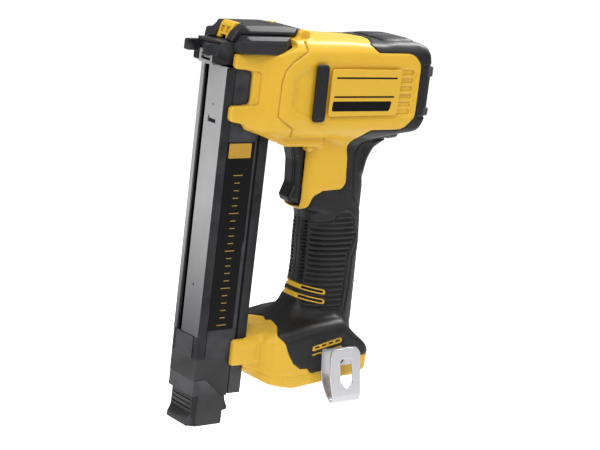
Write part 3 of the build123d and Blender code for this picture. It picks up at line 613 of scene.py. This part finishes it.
def rubber_zone(grid):
    """Field of the region covered by rubber."""
    zone = np.empty(grid.shape, F)
    straight = polygon_field(grid.x, grid.z, RUBBER_ZONE)
    # share of the carried outline: on the barrel, and on the front of the foot
    share = (ease((grid.z - 100) / 8)[None, :]
             + ease((-50 - grid.z) / 6)[None, :] * ease((132 - grid.x) / 16)[:, None])
    last_inset = None
    for j, y in enumerate(grid.y):
        inset = round(inset_of(y), 1)
        if inset != last_inset:
            carried = polygon_field(*carried_out(grid, inset), RUBBER_ZONE)
            last_inset = inset
        zone[:, j, :] = straight * (1 - share) + carried * share
    X, _, Z = grid.axes
    zone = cut(zone, meet(grid.plan(YELLOW_CROWN), 152 - Z), 2.0)
    return join(zone, 177.2 - X)


def trigger_slot(grid):
    X, abs_y, Z = grid.axes
    return meet(slab(X, 40, 101), abs_y - 9.4, slab(Z, 28.5, 87.5))


def battery_bay(grid):
    X, abs_y, Z = grid.axes
    return meet(slab(X, 68, 185), abs_y - 30.5, slab(Z, -140, -99))


# ------------------------------------------------------------------ hard yellow shell
SIDE_PANEL = [
    (69, 103.5, 3), (156.5, 104.5, 3), (172.5, 106, 6), (173, 146, 6), (158, 148, 3),
    (70, 150.5, 3), (52.5, 142.5, 5), (47.2, 137, 4), (46.2, 117, 4), (52.5, 109.5, 5)]
SIDE_SEAM = [
    (53.5, 165), (58, 157.6), (45.6, 150), (39, 143), (36.6, 134), (36, 108), (44.5, 102.4),
    (51.4, 98.4), (50, 91.5), (44, 86)]
SIDE_BAR_POCKET = [(69.6, 102.6, 3), (82.4, 102.6, 3), (81.4, 148.6, 3), (68.6, 148.6, 3)]
SCREWS = [  # (x, z, distance of the screw's seat from the split plane)
    (182, 146, 22), (182, 107, 22), (112, 84, 8), (128, 10, 8), (128, -38, 8), (62, 94.5, 24),
    (66, -80, 20), (150, -92.4, 24)]


def side_relief(grid):
    """Depth of the sunk panel and the seam groove on the barrel's sides."""
    inner_y = 21.0  # no relief inboard of this
    relief = np.zeros(grid.shape, F)
    for j, y in enumerate(grid.y):
        if abs(y) < inner_y:
            continue
        x, z = carried_out(grid, inset_of(y))
        relief[:, j, :] = (1.5 * np.clip(-polygon_field(x, z, SIDE_PANEL) / 3.0, 0, 1)
                           + 1.4 * ease((1.25 - line_distance(x, z, SIDE_SEAM)) / 0.7))
    return relief * ease((grid.axes[1] - inner_y) / 3.0)


def shell_outside(grid, body):
    """The body with the shell's surface detail cut in."""
    X, abs_y, Z = grid.axes
    outside = body + side_relief(grid)
    lip = grid.side_line([(44, -98.5), (64, -104.8), (86, -107.8), (118, -104.6)])
    outside = (outside + 0.7 * ease((1.4 - lip) / 1.0)
               + 0.7 * ease((lip - 0.6) / 1.2) * ease((-101 - Z) / 3.0) * ease((118 - X) / 6))
    outside = cut(outside, grid.box((-10, 27.6), (10, 60), (113.6, 139.6), 3.0), 1.0)
    for k in range(6):  # vents
        z = 110.2 + 6.35 * k
        vent = round_meet(slab(X, 157.0, 171.0), slab(Z, z - 1.9, z + 1.9), 1.2)
        outside = cut(outside, round_meet(vent, 33.4 - abs_y, 0.4), 0.7)
    return cut(outside, meet(grid.side(SIDE_BAR_POCKET), 36.2 - abs_y), 0.3)


def hard_shell(grid, body, zone):
    X, abs_y, Z = grid.axes
    # thinner under the rubber, hollow inside
    hard = join(round_meet(shell_outside(grid, body), -(zone - 0.12), 0.55), body + 2.7)
    hard = cut(hard, body + 5.6)
    magazine = meet(slab(X, -60, 46.4), abs_y - 17.2, slab(Z, -130, 178))
    nose_covers = grid.side([
        (-30, 153.2), (36.4, 153.2, 2), (52.6, 160.0, 3), (52.6, 180), (-30, 180)])
    hard = cut(hard, magazine, 0.8)
    hard = cut(hard, meet(nose_covers, -abs_y), 0.8)
    hard = cut(hard, trigger_slot(grid), 1.2)
    hard = cut(hard, battery_bay(grid), 0.6)
    hard = join(hard, grid.box((68, 150), (26.6, 31.0), (-112, -108), 0.8))  # bay rails
    hard = cut(hard, meet(slab(X, 30, 62), abs_y - 21, slab(Z, 138.5, 160.0)))
    hook_boss = meet(grid.rod(*HOOK_SCREW, 5.0), slab(abs_y, 26, 38.2))
    hard = cut(join(hard, hook_boss), meet(grid.rod(*HOOK_SCREW, 2.1), 29 - abs_y), 0.3)
    hard = join(hard, meet(grid.rod(*TRIGGER_PIN, 3.2), slab(abs_y, 9.5, 16.4)))
    bosses = join(*(grid.rod(x, z, 4.2) for x, z, _ in SCREWS))
    return join(hard, meet(bosses, body + 2.8))


# ------------------------------------------------------------------ soft grip
RIB_FIELD = [
    (99, 15.5, 2), (106, 16.0, 3), (118.4, 18.4, 4), (125.8, 24.2, 3), (137.0, 24.3, 4),
    (142.2, 18.4, 6), (147.3, 4.6, 6), (144.3, -3.1, 8), (139.6, -11.8, 8), (139.6, -33.5, 4),
    (138.0, -55, 4), (134.5, -57.7, 3), (101, -54.5, 2), (97, -30)]
GRIP_SEAM = [
    (170, 84.5), (145.8, 83.4), (138.4, 80.8), (133.2, 74.3), (134.6, 56.6), (137.5, 38.8),
    (143.6, 31.8), (152, 25)]
REAR_SEAM = [
    (150, 16), (152, 4), (149, -6), (144.5, -14), (144.5, -34), (142, -58), (136, -64)]
TOP_PATCH = [(146, -22, 6), (183, -20, 6), (183, 20, 6), (146, 22, 6)]  # (x, y, radius)
TRIM_BANDS = [(-37.9, 0.19), (-45.6, 0.2)]  # (z at x = 98, fall per millimetre of x)
FOOT_SLOTS = [
    [(98.5, -80.2, 2.2), (128.5, -74.6, 2.4), (128.5, -79.6, 2.4), (98.5, -85.0, 1.2)],
    [(98.5, -87.0, 1.6), (129.5, -81.6, 1.8), (129.5, -85.0, 1.8), (98.5, -91.0, 1.4)]]


def grip_relief(grid):
    """Depth of the grip's ribs, treads and seams."""
    X, abs_y, Z = grid.axes
    ribs = grid.side(RIB_FIELD)
    rib_mask = ease((-ribs - 1.4) / 1.2) * ease((abs_y - 10.2) / 1.4)
    wave = 1.0 - np.abs(np.sin(math.pi * (Z - 14.0) / 4.3))
    depth = 1.7 * wave ** 1.2 * rib_mask
    # groove round the rib field
    depth = depth + 1.0 * ease((1.3 - np.abs(ribs + 0.7)) / 0.7) * ease((abs_y - 9.6) / 1.2)
    # tread marks on the front
    tread = (ease((-ribs + 3) / 1.0) * ease((abs_y - 4.4) / 0.8) * ease((9.4 - abs_y) / 0.8)
             * ease((108 - X) / 4) * ease((Z + 33) / 2))
    depth = depth + 1.15 * tread * ease((np.sin(2 * math.pi * Z / 3.0) + 0.15) / 0.5)
    seam, rear = grid.side_line(GRIP_SEAM), grid.side_line(REAR_SEAM)
    depth = depth + 1.0 * ease((1.3 - seam) / 0.8) * ease((abs_y - 4) / 2)
    depth = depth + 0.9 * ease((1.2 - rear) / 0.8) * ease((abs_y - 6) / 2)
    # raised patch on the barrel's rear top, with a groove round it
    patch = meet(grid.plan(TOP_PATCH), 155 - Z)
    return depth + 0.8 * ease((1.3 - np.abs(patch)) / 0.8) - 0.5 * ease(-patch / 2.0)


def trim_offset(grid, band):
    """Height above or below a trim band's sloping middle, unsigned."""
    height, slope = band
    X, _, Z = grid.axes
    return np.abs(Z - (height - (X - 98.0) * slope))


def soft_grip(grid, body, zone):
    X, abs_y, Z = grid.axes
    soft = cut(body - 0.25 + grip_relief(grid), body + 2.5)
    soft = round_meet(soft, zone + 0.1, 0.8)
    grooves = meet(ease((1.0 - np.abs(Z - 147.9)) / 0.5), ease((1.0 - np.abs(Z - 105.9)) / 0.5))
    soft = soft + 1.0 * (grooves * ease((X - 178) / 3))
    soft = cut(soft, battery_bay(grid), 0.5)
    soft = cut(soft, trigger_slot(grid), 0.8)
    for band in TRIM_BANDS:
        pocket = round_meet(trim_offset(grid, band) - 2.35, X - 120.6, 2.2)
        soft = cut(soft, cut(pocket, body + 1.5), 0.35)
    for points in FOOT_SLOTS:
        soft = cut(soft, meet(grid.side(points), 36.6 - abs_y, 60 - X), 0.35)
    # rounded block in front of the hook's screw
    block = grid.side([(96.0, -88.5, 3), (112, -87, 3), (112.5, -101.5, 3), (97.5, -103, 3)])
    soft = join(soft, meet(round_meet(block, abs_y - 39.6, 1.2), 34.0 - abs_y))
    soft = cut(soft, meet(grid.rod(*HOOK_SCREW, 5.1), 30 - abs_y), 0.2)
    return meet(soft, abs_y - 39.4)


def bumper_lugs(grid, body):
    """Two raised bands round the barrel's rear."""
    X, abs_y, Z = grid.axes
    bands = join(slab(Z, 138.6, 147.0), slab(Z, 106.8, 113.4))
    lugs = round_meet(body - 2.4, bands, 1.0)
    lugs = round_meet(lugs, round_meet(184.5 - X, abs_y - 35.0, 2.0), 1.2)
    return cut(lugs, body + 0.6)


def build_housing():
    """Both halves of shell and grip; only the right half has the screws' sinks."""
    cell = 0.62
    grid = Grid((-2.0, 203.0), (-42.0, 2 * cell * COARSE), (-121.0, 176.0), cell)
    body = tool_body(grid)
    zone = rubber_zone(grid)
    split = grid.Y + 0.06
    sinks = join(*(meet(grid.rod(x, z, 3.6), seat - grid.axes[1]) for x, z, seat in SCREWS))
    for make, name, finish, slot, replaces in (
            (hard_shell, "yellow_housing", YELLOW, "yellow_shell", "housing"),
            (soft_grip, "soft_grip", RUBBER, "soft_grip", "grip_overmould")):
        whole = make(grid, body, zone)
        build(name + "_left", grid, round_meet(whole, split, 0.5), finish,
              replaces=replaces + "_left", adapt=0.02)
        build(name + "_right", grid, round_meet(cut(whole, sinks, 0.4), split, 0.5), finish,
              replaces=replaces + "_right", adapt=0.02, mirror=True)
    lugs = round_meet(bumper_lugs(grid, body), split, 0.4)
    for name, mirror in (("rear_bumper_lugs", False), ("rear_bumper_lugs_right", True)):
        build(name, grid, lugs, RUBBER_GREY, adapt=0.02, mirror=mirror)


# ------------------------------------------------------------------ trims, bars, name panels
def build_grip_trims():
    """Two yellow bands that wrap round the grip's front."""
    grid = Grid((90, 126), (-23, 23), (-62, -28), 0.42)
    X, abs_y, _ = grid.axes
    rings = []
    for band in TRIM_BANDS:
        offset = trim_offset(grid, band)
        ring = round_meet(offset - 2.1, X - 120.2, 2.0)
        hole = round_meet(round_meet(offset - 1.05, X - 118.4, 0.9), 8.5 - abs_y, 0.8)
        rings.append(cut(ring, hole, 0.2))
    grip = round_join(neck(grid), foot(grid), foot_fillet(grid))
    trims = cut(round_meet(join(*rings), grip + 0.05, 0.4), grip + 1.35, 0.2)
    build("grip_trims", grid, trims, YELLOW)


def build_foot_trims():
    """Yellow rims in the foot's side slots, each with a row of four slanted cells."""
    grid = Grid((94, 134), (-38.6, -35.4), (-94, -70), 0.36)
    X, abs_y, Z = grid.axes
    rims = []
    for points in FOOT_SLOTS:
        rim = grid.side(points) + 0.25
        starts = [100.6 + 7.2 * k for k in range(4)]
        cells = [round_meet(rim + 1.15, slab(X + (Z + 80) * 0.3, x, x + 4.9), 0.5)
                 for x in starts]
        rims.append(cut(rim, join(*cells), 0.2))
    rims = round_meet(join(*rims), slab(abs_y, 35.9, 38.05), 0.4)
    build_pair("foot_trims", grid, rims, YELLOW)


def build_side_bars():
    """Upright rubber bars in the shell's pockets, grooved near their edge."""
    grid = Grid((66, 85), (-40, -35), (100, 151), 0.4)
    abs_y = grid.axes[1]
    outline = grid.side([(70, 103, 3), (82, 103, 3), (81, 148, 3), (69, 148, 3)])
    bar = round_meet(outline, slab(abs_y, 36.4, 38.7), 0.9)
    groove = 0.35 * ease((0.9 - np.abs(outline + 2.0)) / 0.5) * ease((abs_y - 38) / 0.3)
    build_pair("side_bar", grid, bar + groove, RUBBER,
               replaces=("side_pad_left", "side_pad_right"))


NAME_PANEL = [(85.4, 107.4, 2.5), (155.6, 108.2, 2.5), (156.2, 144.6, 2.5), (85.0, 144.6, 2.5)]
PANEL_PRINT = [
    [(88.0, 111.6, 1.5), (146.6, 111.6, 2.5), (148.4, 119.4, 1.5), (88.4, 119.4, 1.0)],
    [(89.0, 122.3, 0.2), (150.0, 122.3, 0.2), (150.1, 123.6, 0.2), (89.0, 123.6, 0.2)],
    [(89.6, 137.2, 0.2), (151.4, 137.2, 0.2), (151.5, 138.5, 0.2), (89.6, 138.5, 0.2)]]


def build_name_panels():
    for side, sign in (("left", -1), ("right", 1)):
        plate("name_panel_" + side, [NAME_PANEL], sign * 36.6, sign * 37.75, YELLOW,
              replaces="name_plate_" + side, bevel=0.5)
        plate("name_panel_print_" + side, PANEL_PRINT, sign * 37.5, sign * 37.88, INK)


# ------------------------------------------------------------------ nose covers, door, latch
def build_nose_covers():
    """A hollow pod on each side of the nose, its front opening glazed, and their bridge."""
    grid = Grid((0, 56), (-32, -15.5), (150, 170), 0.42)
    _, abs_y, Z = grid.axes
    pod = grid.side([
        (3, 153.4, 1.5), (3, 160.5, 3), (8.6, 166.8, 3), (50, 166.8, 4), (52.2, 160.2, 3),
        (36.2, 153.4, 3)])
    pod = round_meet(pod, grid.plan([
        (2.6, -17.6), (2.6, -21.5, 2), (9.5, -29.8, 2.5), (43, -30, 4), (52.4, -24, 4),
        (52.4, -17.6)]), 0.8)
    pod = round_meet(pod, grid.end([
        (-17.6, 153.3), (-17.6, 167), (-25.6, 166.9, 2), (-30, 163.4, 1.5), (-30, 153.3)]), 0.7)
    pod = pod + 0.3 * ease((0.8 - np.abs(Z - 163.0)) / 0.5) * ease((abs_y - 24) / 2)
    pod = cut(pod, grid.box((8, 44), (20, 27.5), (155.0, 164.0)))
    pod = cut(pod, grid.box((0, 4.4), (18.4, 21.4), (155.8, 160.4)), 0.2)
    build_pair("nose_cover", grid, pod, COVER, replaces=("front_cover", None))

    grid = Grid((1.5, 6), (-22.5, -17.5), (154.5, 162), 0.2)
    window = grid.box((2.75, 4.3), (18.5, 21.3), (155.9, 160.3), 0.5)
    build_pair("work_light_window", grid, window, LENS,
               replaces=("work_light_lenses", None))

    grid = Grid((44, 54), (-19.5, 19.5), (159, 169), 0.5)
    bridge = grid.box((46, 52), (-1, 18), (161.5, 166.8), 1.2)
    build("nose_cover_bridge", grid, bridge, COVER)


def build_jam_door():
    grid = Grid((-2, 71), (-25, 25), (158, 177), 0.45)
    X, abs_y, Z = grid.axes
    door = grid.side([
        (0.5, 161, 1.2), (4.6, 168, 3), (11.5, 173.6, 4), (48, 173.8, 14), (66.5, 171.4, 2.2),
        (66.5, 167.4), (18, 167.4), (18, 161)])
    door = round_meet(door, grid.plan([
        (0, -16), (9, -16, 2), (14, -22, 3), (56, -22, 4), (60, -17.8, 1), (75, -17.8),
        (75, 17.8), (60, 17.8, 1), (56, 22, 4), (14, 22, 3), (9, 16, 2), (0, 16)]), 0.8)
    door = round_meet(door, grid.end([
        (-22, 150), (-22, 169.4, 1.5), (-16.6, 173.8, 2), (-8, 174.2, 8), (8, 174.2, 8),
        (16.6, 173.8, 2), (22, 169.4, 1.5), (22, 150)]), 0.7)
    door = cut(door, meet(slab(X, -5, 19), 16.05 - abs_y, Z - 167.4))  # skirt, front corners
    hollow = grid.side([
        (18, 150), (18, 168.2), (20, 170.6, 2), (46, 170.6, 2), (58, 169.3), (58, 150)])
    door = cut(door, meet(hollow, abs_y - 14))
    door = cut(door, meet(slab(X, -12, 16.2), abs_y - 8.2), 0.6)       # notch for the latch
    door = join(door, meet(grid.rod(65, 169.4, 2.6), abs_y - 17.9))    # hinge barrel
    groove = ease((0.9 - np.abs(X - 40.0)) / 0.5)
    door = door + 0.35 * groove * ease((Z - 172) / 0.5) * ease((9 - abs_y) / 1)
    build("jam_door_cover", grid, door, COVER, body="door", replaces="jam_door")


def build_jam_latch():
    grid = Grid((1.5, 17), (-9.5, 9.5), (159, 176), 0.3)
    X, abs_y, Z = grid.axes
    latch = grid.side([
        (3.8, 161.2, 0.7), (7.0, 171.6, 1.5), (9.0, 174.2, 2), (14.6, 174.3, 1.8),
        (14.6, 168.4, 0.8), (9.8, 168.4, 1), (6.8, 161.2, 0.7)])
    latch = round_meet(latch, abs_y - 7.95, 0.9)
    notch = grid.box((-1, 12), (-3.6, 3.2), (155, 163.8), 0.5, both_sides=False)
    latch = cut(latch, notch, 0.4)
    for y0, y1 in ((-5.6, -1.0), (1.0, 5.6)):  # two recesses in the sloping face
        recess = meet(slab(grid.Y, y0, y1), slab(Z, 165.4, 170.2), X - 7.9 - (Z - 168) * 0.25)
        latch = cut(latch, recess, 0.4)
    latch = cut(latch, grid.rod(12.2, 170.9, 1.25))  # pin hole
    build("jam_latch_lever", grid, latch, YELLOW, body="door_latch",
          replaces="jam_latch")


# ------------------------------------------------------------------ trigger
def build_trigger():
    grid = Grid((70, 99), (-11, 11), (28, 88), 0.42)
    X, abs_y, Z = grid.axes
    lever = grid.side([
        (73.5, 79.5, 1.5), (78.5, 76.8, 4), (82.4, 66, 10), (84.0, 47, 8), (79.8, 36.2, 1.6),
        (82, 31.8, 2.5), (93, 30.4, 2.5), (95, 78, 3), (91, 84.5, 3), (76, 84.5, 3)])
    lever = round_meet(lever, abs_y - 8.9, 1.0 + 3.6 * ease((91 - X) / 6))
    groove = 0.4 * ease((0.8 - np.abs(abs_y - 4.6)) / 0.5)  # on the finger face
    lever = lever + groove * ease((87 - X) / 3) * ease((Z - 38) / 3) * ease((76 - Z) / 3)
    lever = cut(lever, meet(slab(X, 86.5, 99), abs_y - 6.5, slab(Z, 37, 69)), 0.4)
    lever = cut(lever, grid.rod(*TRIGGER_PIN, 2.05))
    lever = cut(lever, meet(grid.rod(*TRIGGER_PIN, 4.6), abs_y - 5.2))
    build("trigger_lever_piece", grid, lever, PLASTIC, body="trigger_lever",
          replaces="trigger")


# ------------------------------------------------------------------ belt hook
def build_belt_hook():
    """One strip, down the foot's left side and bent back up further out."""
    grid = Grid((103, 147), (-53.6, -36.6), (-128.4, -77), 0.34)
    X, _, Z = grid.axes
    Y = grid.Y
    inner_y = -38.05
    half_thick = 0.8
    bend = [  # (y, z) along the strip's middle
        (inner_y - half_thick, -84), (inner_y - half_thick, -110.5), (inner_y - 2.4, -117),
        (inner_y - 5.4, -123.4), (inner_y - 8.0, -126.0), (inner_y - 10.6, -126.2),
        (inner_y - 12.8, -124.4), (-51.3, -120), (-50.0, -79)]
    hook = line_distance(grid.y, grid.z, bend)[None, :, :] - half_thick
    outline = grid.side([
        (107.6, -86, 3), (109.2, -80.6, 4), (134.0, -79.6, 5), (138.2, -84.5, 4),
        (143.4, -123, 2), (143.4, -130), (116.5, -130), (114.6, -122, 6), (109.4, -104, 12)])
    hook = round_meet(hook, outline, 0.35)
    window = grid.side([
        (117.6, -89.0, 3), (129.0, -89.4, 4), (131.6, -98, 8), (133.6, -109.5, 4),
        (128.6, -116.2, 3), (121.0, -108.5, 3)])
    hook = cut(hook, meet(window, Y + 45), 0.3)  # outer leg
    notch = grid.side([(119.6, -98.6, 3), (150, -98.6), (150, -119, 0), (124.0, -119, 4)])
    hook = cut(hook, meet(notch, -Y - 43), 0.3)  # inner leg
    hook = cut(hook, meet(grid.rod(*HOOK_SCREW, 2.15), -Y - 45), 0.2)
    tongue = grid.side([
        (120.4, -106.5, 1.5), (124.6, -110.5, 1.5), (125.6, -117.8, 1), (121.6, -117.8, 1)])
    tongue = round_meet(np.abs(Y + 47.0 + (Z + 114) * 0.3) - 0.75, tongue, 0.3)
    build("belt_hook_strip", grid, join(hook, tongue), BRIGHT,
          replaces="belt_hook")


# ------------------------------------------------------------------ magazine's left side
def build_magazine_marks():
    """Film, patch and plain ticks; every fifth tick is long."""
    plate("magazine_film", [rectangle(8, 32, -66, 84, 1)], -16.9, -17.05, INK,
          replaces="magazine_label")
    plate("magazine_patch", [rectangle(9.5, 30.5, 71.5, 83, 0.8)], -17.0, -17.08, LABEL)
    ticks = []
    for k, z in enumerate(np.arange(58, -66, -6.0)):
        half = (9.0 if k % 5 == 0 else 5.0) / 2
        ticks.append(rectangle(20.5 - half, 20.5 + half, z - 0.35, z + 0.35))
    plate("magazine_ticks", ticks, -17.0, -17.1, GOLD)


# ------------------------------------------------------------------ drive springs
def build_drive_springs():
    """A copy of their own, in bare steel, in place of the CAD springs."""
    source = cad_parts["drive_springs"]
    coils = link_object("drive_spring_coils", source.data.copy())
    coils.matrix_world = source.matrix_world.copy()
    coils.data.materials.clear()
    coils.data.materials.append(STEEL)
    register(coils, "tool", "drive_springs")
    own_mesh(coils)


# ------------------------------------------------------------------ CAD pieces kept as they are
OTHER_FINISH = (PLASTIC, 0.3)
FINISHES = [  # material, edge rounding in millimetres, pieces
    (SHELL, 0.45, "magazine_body"),
    (STRIP, 0.25, "magazine_front_strip"),
    (STRIP, 0.2, "nose_plate"),
    (LABEL, 0.1, "magazine_label"),
    (PLASTIC, 0.9, "magazine_pull"),
    (PLASTIC, 0.8, "magazine_end_cap"),
    (PLASTIC, 0.6, "trigger_switch"),
    (PLASTIC, 0.5, "magazine_latch"),
    (PLASTIC, 0.2, "motor_fan"),
    (BLACK_STEEL, 0.8, "nose_block"),
    (BLACK_STEEL, 0.7, "contact_trip"),
    (BLACK_STEEL, 0.4, "motor_rotor lifter_wheel"),
    (BLACK_STEEL, 0.3, "magazine_track belt_hook_screw"),
    (STEEL, 0.3, "staple_pusher guide_rods motor_bearings idler_shaft lifter_shaft"),
    (STEEL, 0.25, "housing_screws"),
    (STEEL, 0.2, "magazine_latch_pin jam_door_pin jam_latch_pin trigger_pin driver_blade"),
    (STEEL, 0.1, "motor_shaft idler_gear lifter_gear"),
    (STEEL, 0, "pusher_spring magazine_latch_spring trigger_spring drive_springs"),
    (ALLOY, 0.6, "driver_carriage"),
    (ALLOY, 0.5, "drive_frame"),
    (RUBBER, 0.6, "drive_bumper"),
    (COPPER, 0.4, "motor_stator"),
    (BOARD, 0.3, "control_board"),
]


def finish_cad_pieces():
    finish_of = {name: (finish, bevel) for finish, bevel, names in FINISHES
                 for name in names.split()}
    for name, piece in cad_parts.items():
        if piece.hide_render:
            continue
        finish, bevel = finish_of.get(name, OTHER_FINISH)
        piece.data.materials.clear()
        piece.data.materials.append(finish)
        if bevel:
            piece.modifiers.new("weld", "WELD").merge_threshold = 0.000002
            round_edges(piece, bevel, segments=2, angle=38)


# ------------------------------------------------------------------ floor, world, lights, camera
def build_floor(height):
    """Pale floor that glows a little, to the camera only."""
    pale = material("pale_floor", "#FFFFFF", "#FBFBFB", rough=(0.85, 0.95), grain=40, bump=0.0,
                    spec=0.1, mix=0.2)
    tree = pale.node_tree
    seen = add_node(tree, "LightPath").outputs["Is Camera Ray"]
    glow = add_node(tree, "Math", {0: seen, 1: 0.72}, operation="MULTIPLY").outputs["Value"]
    shader = tree.nodes["Principled BSDF"].inputs
    shader["Emission Color"].default_value = (1, 1, 1, 1)
    tree.links.new(glow, shader["Emission Strength"])
    mesh = bpy.data.meshes.new("floor")
    corners = [(-9, -9, height), (9, -9, height), (9, 9, height), (-9, 9, height)]
    mesh.from_pydata(corners, [], [(0, 1, 2, 3)])
    mesh.materials.append(pale)
    link_object("floor", mesh)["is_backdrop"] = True


def build_world(scene):
    """White to the camera, dimmer as a light."""
    scene.world = bpy.data.worlds.new("studio")
    scene.world.use_nodes = True
    tree = scene.world.node_tree
    back = tree.nodes["Background"].inputs
    back["Color"].default_value = (1, 1, 1, 1)
    seen = add_node(tree, "LightPath").outputs["Is Camera Ray"]
    tree.links.new(remap(tree, seen, to=(0.30, 1.0)), back["Strength"])
    scene.view_settings.view_transform = "Standard"


def area_light(name, location, size, power):
    """Disc light aimed at the tool's middle."""
    middle = Vector(((cad_lo.x + cad_hi.x) / 2, 0, (cad_lo.z + cad_hi.z) / 2))
    light = bpy.data.lights.new(name, "AREA")
    light.shape, light.size, light.energy = "DISK", size, power
    lamp = bpy.data.objects.new(name, light)
    lamp.location = location
    lamp.rotation_mode = "QUATERNION"
    lamp.rotation_quaternion = (middle - Vector(location)).to_track_quat("-Z", "Y")
    bpy.context.scene.collection.objects.link(lamp)


def build_camera(scene):
    lens = bpy.data.cameras.new("camera")
    lens.lens, lens.sensor_width = 105.72, 36.0
    camera = link_object("camera", lens)
    right = (0.78731, -0.60538, 0.11694)
    up = (0.04647, 0.24740, 0.96781)
    backward = (-0.61481, -0.75652, 0.22291)
    pose = Matrix((right, up, backward)).transposed().to_4x4()
    pose.translation = row_point(-773.604, -1076.235, 327.709)
    camera.matrix_world = pose
    scene.camera = camera


build_housing()
build_grip_trims()
build_foot_trims()
build_side_bars()
build_name_panels()
build_nose_covers()
build_jam_door()
build_jam_latch()
build_trigger()
build_belt_hook()
build_magazine_marks()
build_drive_springs()
finish_cad_pieces()

build_floor(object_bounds()[0].z - 0.18)  # low enough for the opened magazine
build_world(bpy.context.scene)
area_light("key", location=(-1.0, -0.9, 1.15), size=0.6, power=11.5)
area_light("side", location=(0.7, -1.3, 0.7), size=0.5, power=3.6)
area_light("front", location=(-1.4, 0.3, 0.2), size=0.5, power=3)
area_light("rim", location=(1.1, 0.35, 0.85), size=0.5, power=17)
area_light("top", location=(0.1, -0.1, 1.5), size=0.7, power=12)
build_camera(bpy.context.scene)
